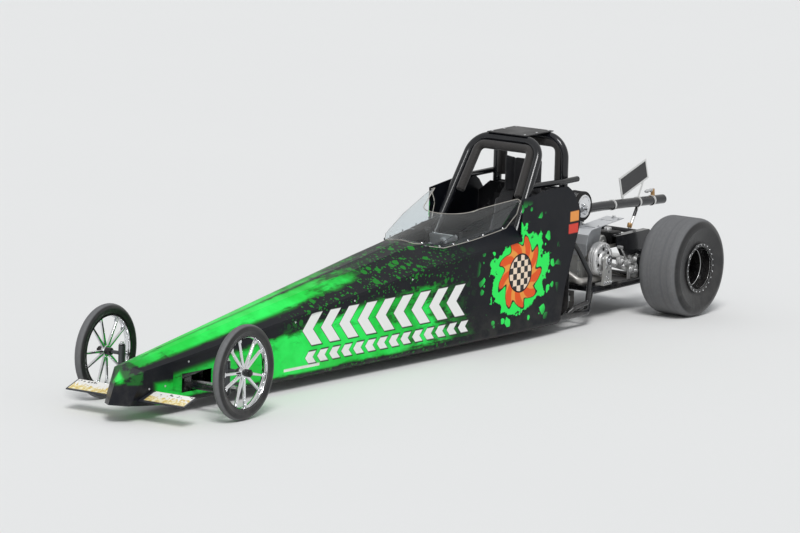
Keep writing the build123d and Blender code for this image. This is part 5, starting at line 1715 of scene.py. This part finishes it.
def makeHead():
    # finned head and plug, the side cover's ribs and bolts, fan shroud, starter and carburettor
    x, y, z = headLook["at"]
    (long, wide), fin, (boltX, boltY) = headLook["half"], headLook["finHalf"], headLook["boltAt"]
    head = bar("cylinderHead", (x - long, y - wide, z - 0.0015), (x + long, y + wide, z + 0.010), 0.003)
    fins = [bar("headFin", (x - fin, y + at - 0.0016, z + 0.0095),
                (x + fin, y + at + 0.0016, z + 0.0185), 0.0007) for at in headLook["fins"]]
    places = [((x + sx * boltX, y + sy * boltY, z + 0.010), (0, 0, 1)) for sx in (-1, 1) for sy in (-1, 1)]
    bolts = scattered(hexBolt("headBolt", *headLook["bolt"]), "headBolts", places)
    left, low, top = caseLook["left"], caseLook["ribLow"], caseLook["ribTop"]
    ribs = [bar("caseRib", spot(at - 0.002, left - 0.001, low), spot(at + 0.002, left + 0.006, top), 0.001)
            for at in caseLook["ribs"]]
    caseBolts = scattered(hexBolt("caseBolt", *caseLook["bolt"]), "caseBolts",
                          [(spot(at, left, high), (0, 1, 0)) for at, high in caseLook["bolts"]])
    fan = engine["crank"] + Vector((0, caseLook["right"], 0))
    shroud = spun("fanShroud", [(0.001, 0.083), (-0.010, 0.083), (-0.019, 0.076), (-0.021, 0.060),
                                (-0.021, 0.022), (-0.025, 0.019), (-0.025, 0.003), (0.001, 0.003)], fan, 64)
    # black bars in the shroud's slots are painted shade for the openings
    slots = []
    for way in circleOf(caseLook["slots"], 1.0):
        start, end = (fan + way * reach - Vector((0, 0.0212, 0)) for reach in (caseLook["slotFrom"],
                                                                              caseLook["slotTo"]))
        slots.append(rod("shroudSlot", start, end, 0.0022, 8))
    starter = spun("starterCase", [(-0.075, 0.020), (-0.078, 0.030), (-0.070, 0.037), (0.070, 0.037),
                                   (0.076, 0.034), (0.076, 0.020)], caseLook["starter"], 48)
    starterEnd = spun("starterEnd", [(0.074, 0.0335), (0.086, 0.0335), (0.092, 0.028), (0.092, 0.012),
                                     (0.098, 0.010), (0.098, 0.003), (0.074, 0.003)],
                      caseLook["starter"], 48)
    carb = [bar("carburettor", spot(0.4385, 0.012, 0.410), spot(0.468, 0.052, 0.446), bevel=0.004),
            rod("floatBowl", spot(0.453, 0.034, 0.386), spot(0.453, 0.034, 0.411), 0.0145, 32, 0.003),
            rod("carbMouth", spot(0.467, 0.032, 0.430), spot(0.482, 0.032, 0.430), 0.013, 32, 0.002,
                tip=0.017),
            bar("throttleArm", spot(0.448, 0.052, 0.418), spot(0.456, 0.0545, 0.448), bevel=0.0008)]
    plug = rod("plugBody", (x - 0.006, y - 0.046, z + 0.006), (x - 0.006, y - 0.068, z + 0.012), 0.0065, 6)
    white = rod("plugWhite", (x - 0.006, y - 0.067, z + 0.012), (x - 0.006, y - 0.084, z + 0.0165),
                0.0048, 20, 0.001)
    finishPiece([head, *fins], "cylinderHead", "castAlloy")
    finishPiece([bolts, caseBolts, plug], "engineBolts", "chrome")
    finishPiece([*ribs, shroud, starterEnd, *carb], "engineCastings", "castAlloy")
    finishPiece([starter, *slots], "starterAndSlotShade", "engineBlack")
    finishPiece([white], "plugWhite", "ceramic")


makeHead()


# each line's radius and its route from one holder to the other, as length, left and height
lineRoutes = {
    "plugLead": (0.0036, [(0.344, -0.097, 0.4435), (0.344, -0.123, 0.4475), (0.370, -0.140, 0.3975),
                          (0.365, -0.127, 0.352), (0.360, -0.119, 0.345)]),
    "batteryLead": (0.0042, [(0.690, 0.110, 0.152), (0.690, 0.110, 0.190), (0.725, 0.105, 0.215),
                             (0.752, 0.100, 0.230)]),
    "fuelLine": (0.0040, [(0.660, -0.050, 0.418), (0.655, -0.050, 0.440), (0.600, -0.020, 0.452),
                          (0.520, 0.020, 0.450), (0.478, 0.046, 0.425), (0.462, 0.046, 0.395)]),
    "throttleCable": (0.0030, [(0.752, 0.090, 0.450), (0.700, 0.090, 0.452), (0.600, 0.085, 0.470),
                               (0.500, 0.062, 0.460), (0.454, 0.0545, 0.446)]),
    "brakeLine": (0.0032, [(0.094, -0.131, 0.252), (0.098, -0.131, 0.290), (0.200, -0.150, 0.300),
                           (0.420, -0.160, 0.250), (0.560, -0.160, 0.200), (0.745, -0.150, 0.200)]),
    "groundLead": (0.0042, [(0.690, 0.060, 0.152), (0.690, 0.060, 0.180), (0.640, 0.050, 0.200),
                            (0.560, 0.060, 0.175), (0.470, 0.080, 0.168)]),
}


def makeLines():
    lines = {name: hose(name, [spot(*point) for point in route], radius)
             for name, (radius, route) in lineRoutes.items()}
    red = [lines.pop("plugLead"), lines.pop("batteryLead")]
    finishPiece(red, "redLines", "redWire")
    finishPiece(list(lines.values()), "blackLines", "gripRubber")


makeLines()


caliperLook = {
    "length": (0.054, 0.098),
    "height": (0.203, 0.254),
    "outer": (-0.149, -0.1375),
    "inner": (-0.1245, -0.113),
    "bolts": (0.214, 0.243),
    "boltAt": 0.068,
    "bolt": (0.0055, 0.005),
}


def makeCaliper():
    # floating caliper ahead of the axle on the right, clear of the disc
    look = caliperLook
    (rear, front), (low, top) = look["length"], look["height"]
    halves = [bar("caliperHalf", spot(rear, right, low), spot(front, left, top), bevel=0.004)
              for right, left in (look["outer"], look["inner"])]
    bridge = bar("caliperBridge", spot(0.090, -0.147, 0.209), spot(0.101, -0.115, 0.248), bevel=0.002)
    stay = bar("caliperStay", spot(0.088, -0.166, engine["bayRail"] - 0.010), spot(0.100, -0.148, 0.232))
    places = [(spot(look["boltAt"], look["outer"][0], z), (0, -1, 0)) for z in look["bolts"]]
    bolts = scattered(hexBolt("caliperBolt", *look["bolt"]), "caliperBolts", places)
    finishPiece([*halves, bridge, stay], "brakeCaliper", "castAlloy")
    finishPiece([bolts], "caliperBolts", "chrome")


makeCaliper()


coilLook = {
    "low": spot(0.098, 0.018, 0.300),
    "high": spot(0.180, 0.1125, 0.372),
    "ribs": 6,
    "ribPitch": 0.014,
    "rib": 0.004,
    "cap": (0.040, 0.062, 0.017),
    "plugs": (0.040, 0.088),
    "lugs": (0.012, 0.056),
}


def makeCoilBox():
    # ignition box bolted to the chain guard's flange, ribbed, with its cap and two plugs
    look = coilLook
    low, high = look["low"], look["high"]
    box = bar("coilCase", low, high, bevel=0.004)
    ribs = []
    for step in range(look["ribs"]):
        y = low.y + (step + 1) * look["ribPitch"]
        ribs.append(bar("coilRib", (low.x - 0.003, y, low.z + 0.010),
                        (low.x + 0.001, y + look["rib"], high.z - 0.010), bevel=0.001))
    capX, capY, radius = look["cap"]
    hardware = [rod("coilCap", (low.x + capX, capY, high.z - 0.001), (low.x + capX, capY, high.z + 0.016),
                    radius, 32, 0.002)]
    hardware += [rod("coilPlug", (low.x + 0.002, y, low.z + 0.020), (low.x - 0.012, y, low.z + 0.020),
                     0.0075, 24, 0.001) for y in look["plugs"]]
    hardware += [bar("coilLug", (low.x + at, 0.104, high.z - 0.0115),
                     (low.x + at + 0.014, 0.118, high.z - 0.0095), 0.0004) for at in look["lugs"]]
    finishPiece([box, *ribs], "coilBox", "engineBlack")
    finishPiece(hardware, "coilHardware", "machined")


makeCoilBox()


trayLook = {"low": spot(-0.085, -0.1605, 0.1252), "high": spot(0.232, 0.1605, 0.1270), "rim": 0.012,
            "sunk": -0.0008}


def makeTray():
    # folded sheet between the bay rails, below the chain and the disc
    tray = bar("bayTray", trayLook["low"], trayLook["high"], bevel=0)
    insetFaces(tray, lambda c, n: n.z > 0.9, trayLook["rim"], (0, 0, trayLook["sunk"]))
    finishPiece([softEdges(tray, 0.0005, 1)], "bayTray", "plateBlack")


makeTray()


bayLook = {
    "guardNut": (0.0085, 0.008),
    "guardNutAt": spot(0.244, 0.160, 0.4565),
    "guardBolt": (0.0050, 0.0045),
    "guardBolts": (spot(0.262, 0.197, 0.4559), spot(0.430, 0.197, 0.4422)),
    "fittingNut": (0.0095, 0.007),
    "fittingNuts": (-0.300, -0.330),
    "boomZ": 0.500,
    "strap": (0.600, 0.622),
    "posts": (0.060, 0.110),
    "postX": 0.690,
    "neck": (0.690, -0.080),
    "elbowX": -0.345,
}


def makeBayTrim():
    # fittings on the guard, the boom and its strut, box strap, posts and the tank's neck and cap
    look = bayLook
    metal = [moved(hexBolt("guardNut", *look["guardNut"]), look["guardNutAt"])]
    for at in look["fittingNuts"]:
        nut = hexBolt("fittingNut", *look["fittingNut"], washer=False)
        metal.append(moved(turned(nut, "Y", 90), spot(at, 0, look["boomZ"])))
    metal.append(rod("fittingPipe", spot(-0.278, 0, look["boomZ"]), spot(-0.352, 0, 0.502), 0.0060, 20,
                     0.0015))
    metal.append(scattered(hexBolt("guardBolt", *look["guardBolt"]), "guardBolts",
                           [(at, (0, 0, 1)) for at in look["guardBolts"]]))
    rear, front = look["strap"]
    metal += [bar("boxStrapTop", spot(rear, 0.018, 0.1527), spot(front, 0.155, 0.1552), bevel=0.0006),
              bar("boxStrapSide", spot(rear, 0.1523, 0.080), spot(front, 0.1550, 0.1552), bevel=0.0006),
              bar("boxBuckle", spot(rear - 0.004, 0.1551, 0.112), spot(front + 0.004, 0.1600, 0.136),
                  0.0012)]
    metal += [rod("boxPost", spot(look["postX"], y, 0.1520), spot(look["postX"], y, 0.1600), 0.0075, 24,
                  0.001) for y in look["posts"]]
    neckX, neckY = look["neck"]
    metal.append(rod("tankNeck", spot(neckX, neckY, 0.4195), spot(neckX, neckY, 0.430), 0.020, 32, 0.001))
    elbowX = look["elbowX"]
    brass = [rod("boomElbow", spot(elbowX, 0, 0.472), spot(elbowX, 0, 0.506), 0.0105, 24, 0.002,
                 tip=0.0085),
             rod("strutCollar", spot(-0.1485, 0, 0.344), spot(-0.154, 0, 0.366), 0.0118, 24, 0.003)]
    finishPiece(metal, "bayHardware", "satinAlloy")
    finishPiece(brass, "brassFittings", "brassFitting")
    cap = rod("tankCap", spot(neckX, neckY, 0.4295), spot(neckX, neckY, 0.442), 0.026, 12, 0.002)
    finishPiece([cap], "tankCap", "boxPlastic")


makeBayTrim()
print("engine bay done")


# Windshield: edge trim and fasteners along its foot

screenLook = {
    "sharp": 74,
    "trim": 0.0019,
    "bolt": (0.0052, 0.0032),
    "feet": (1.24, 1.36, 1.48, 1.58, 1.66, 1.72),
    "crease": ((1.160, 0.243, 0.650), (1.450, 0.192, 0.580), (1.640, 0.158, 0.515), (1.745, 0.092, 0.498)),
}


def onCrease(point):
    # on the pane's own fold, which carries no trim
    line = screenLook["crease"]
    for start, end in zip(line, line[1:]):
        if ahead(start[0]) + 0.008 < point.x <= ahead(end[0]):
            share = (point.x - ahead(start[0])) / (end[0] - start[0])
            y, z = (start[k] + (end[k] - start[k]) * share for k in (1, 2))
            return abs(abs(point.y) - y) < 0.008 and abs(point.z - z) < 0.006
    return False


def makeScreenTrim():
    look = screenLook
    wire = closeUp(copied(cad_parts["windshield"], "screenEdge"))
    pick(wire)
    bpy.context.tool_settings.mesh_select_mode = (False, True, False)
    bpy.ops.object.mode_set(mode="EDIT")
    bpy.ops.mesh.select_all(action="DESELECT")
    bpy.ops.mesh.edges_select_sharp(sharpness=math.radians(look["sharp"]))
    bpy.ops.mesh.select_all(action="INVERT")
    bpy.ops.mesh.delete(type="EDGE_FACE")
    bpy.ops.mesh.select_all(action="DESELECT")
    doneEditing()
    points = wire.data.vertices
    for edge in wire.data.edges:
        first, last = (points[index].co for index in edge.vertices)
        edge.select = onCrease((first + last) / 2)
    bpy.ops.object.mode_set(mode="EDIT")
    bpy.ops.mesh.delete(type="EDGE")
    bpy.ops.mesh.select_all(action="SELECT")
    bpy.ops.mesh.delete_loose(use_verts=True, use_edges=False, use_faces=False)
    doneEditing()
    feet = []
    for at in look["feet"]:
        for side in (1, -1):
            near = [v.co for v in wire.data.vertices
                    if abs(v.co.x - ahead(at)) < 0.03 and v.co.y * side > 0]
            foot = min(near, key=lambda p: p.z + abs(p.x - ahead(at)))
            feet.append((foot + Vector((0, side * 0.0005, 0.006)), (0.1, side, 0.15)))
    pick(wire)
    bpy.ops.object.convert(target="CURVE")
    wire = made("screenEdge")
    wire.data.bevel_depth = look["trim"]
    wire.data.bevel_resolution = 1
    pick(wire)
    bpy.ops.object.convert(target="MESH")
    wire = settle(made("screenTrim"))
    heads = scattered(buttonBolt("screenBolt", *look["bolt"]), "screenBolts", feet)
    finishPiece([wire], "screenTrim", "screenTrim")
    finishPiece([heads], "screenBolts", "chrome")


makeScreenTrim()


# Fasteners on the hood, nose and belly seams, and small parts of the front running gear

panelLook = {
    "hoodStations": (1.95, 2.35, 2.75, 3.15, 3.45),
    "underShoulder": 0.026,
    "bellySeam": 0.075,
    "noseStations": (3.60, 3.70),
    "noseSeam": 0.135,
    "screw": (0.0048, 0.0022),
}


def makeFasteners():
    # each head sits just on its panel, found by a ray from outside
    look, shots = panelLook, []
    for along in look["hoodStations"]:
        shoulder = paint["shoulder"] + (paint["hoodFront"] - along) * paint["shoulderRise"]
        for side, name in ((1, "side_panel_left"), (-1, "side_panel_right")):
            for height in (shoulder - look["underShoulder"], look["bellySeam"]):
                shots.append((name, along, side, height))
    for along in look["noseStations"]:
        for side in (1, -1):
            shots.append(("nose_cone", along, side, look["noseSeam"]))
    places = []
    for name, along, side, height in shots:
        start, way = spot(along, side * 0.6, height), Vector((0, -side, 0))
        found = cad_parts[name].ray_cast(start, way, distance=0.6)
        if found[0]:
            places.append(found[1:3])
    heads = scattered(buttonBolt("panelScrew", *look["screw"]), "panelScrews", places)
    finishPiece([heads], "panelScrews", "satinAlloy")


gearLook = {
    "kingNut": (0.0098, 0.008),
    "kingAt": 0.275,
    "roofBolt": (0.0060, 0.0032),
    "roofRows": (0.018, 0.115, 0.212),
    "roofHalf": 0.088,
}


def makeGearTrim():
    # king pin nuts and the roof plate's bolts
    look = gearLook
    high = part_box("front_axle")[1].z - 0.0008
    nuts = [moved(hexBolt("kingNut", *look["kingNut"]), (frontWheel.x, side * look["kingAt"], high))
            for side in (1, -1)]
    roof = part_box("roof_plate")
    places = [((roof[0].x + dx, side * look["roofHalf"], roof[1].z - 0.0002), (0, 0, 1))
              for dx in look["roofRows"] for side in (1, -1)]
    heads = scattered(buttonBolt("roofBolt", *look["roofBolt"]), "roofBolts", places)
    finishPiece(nuts, "kingNuts", "chrome")
    finishPiece([heads], "roofBolts", "satinAlloy")


makeFasteners()
makeGearTrim()
print("trim and fasteners done")
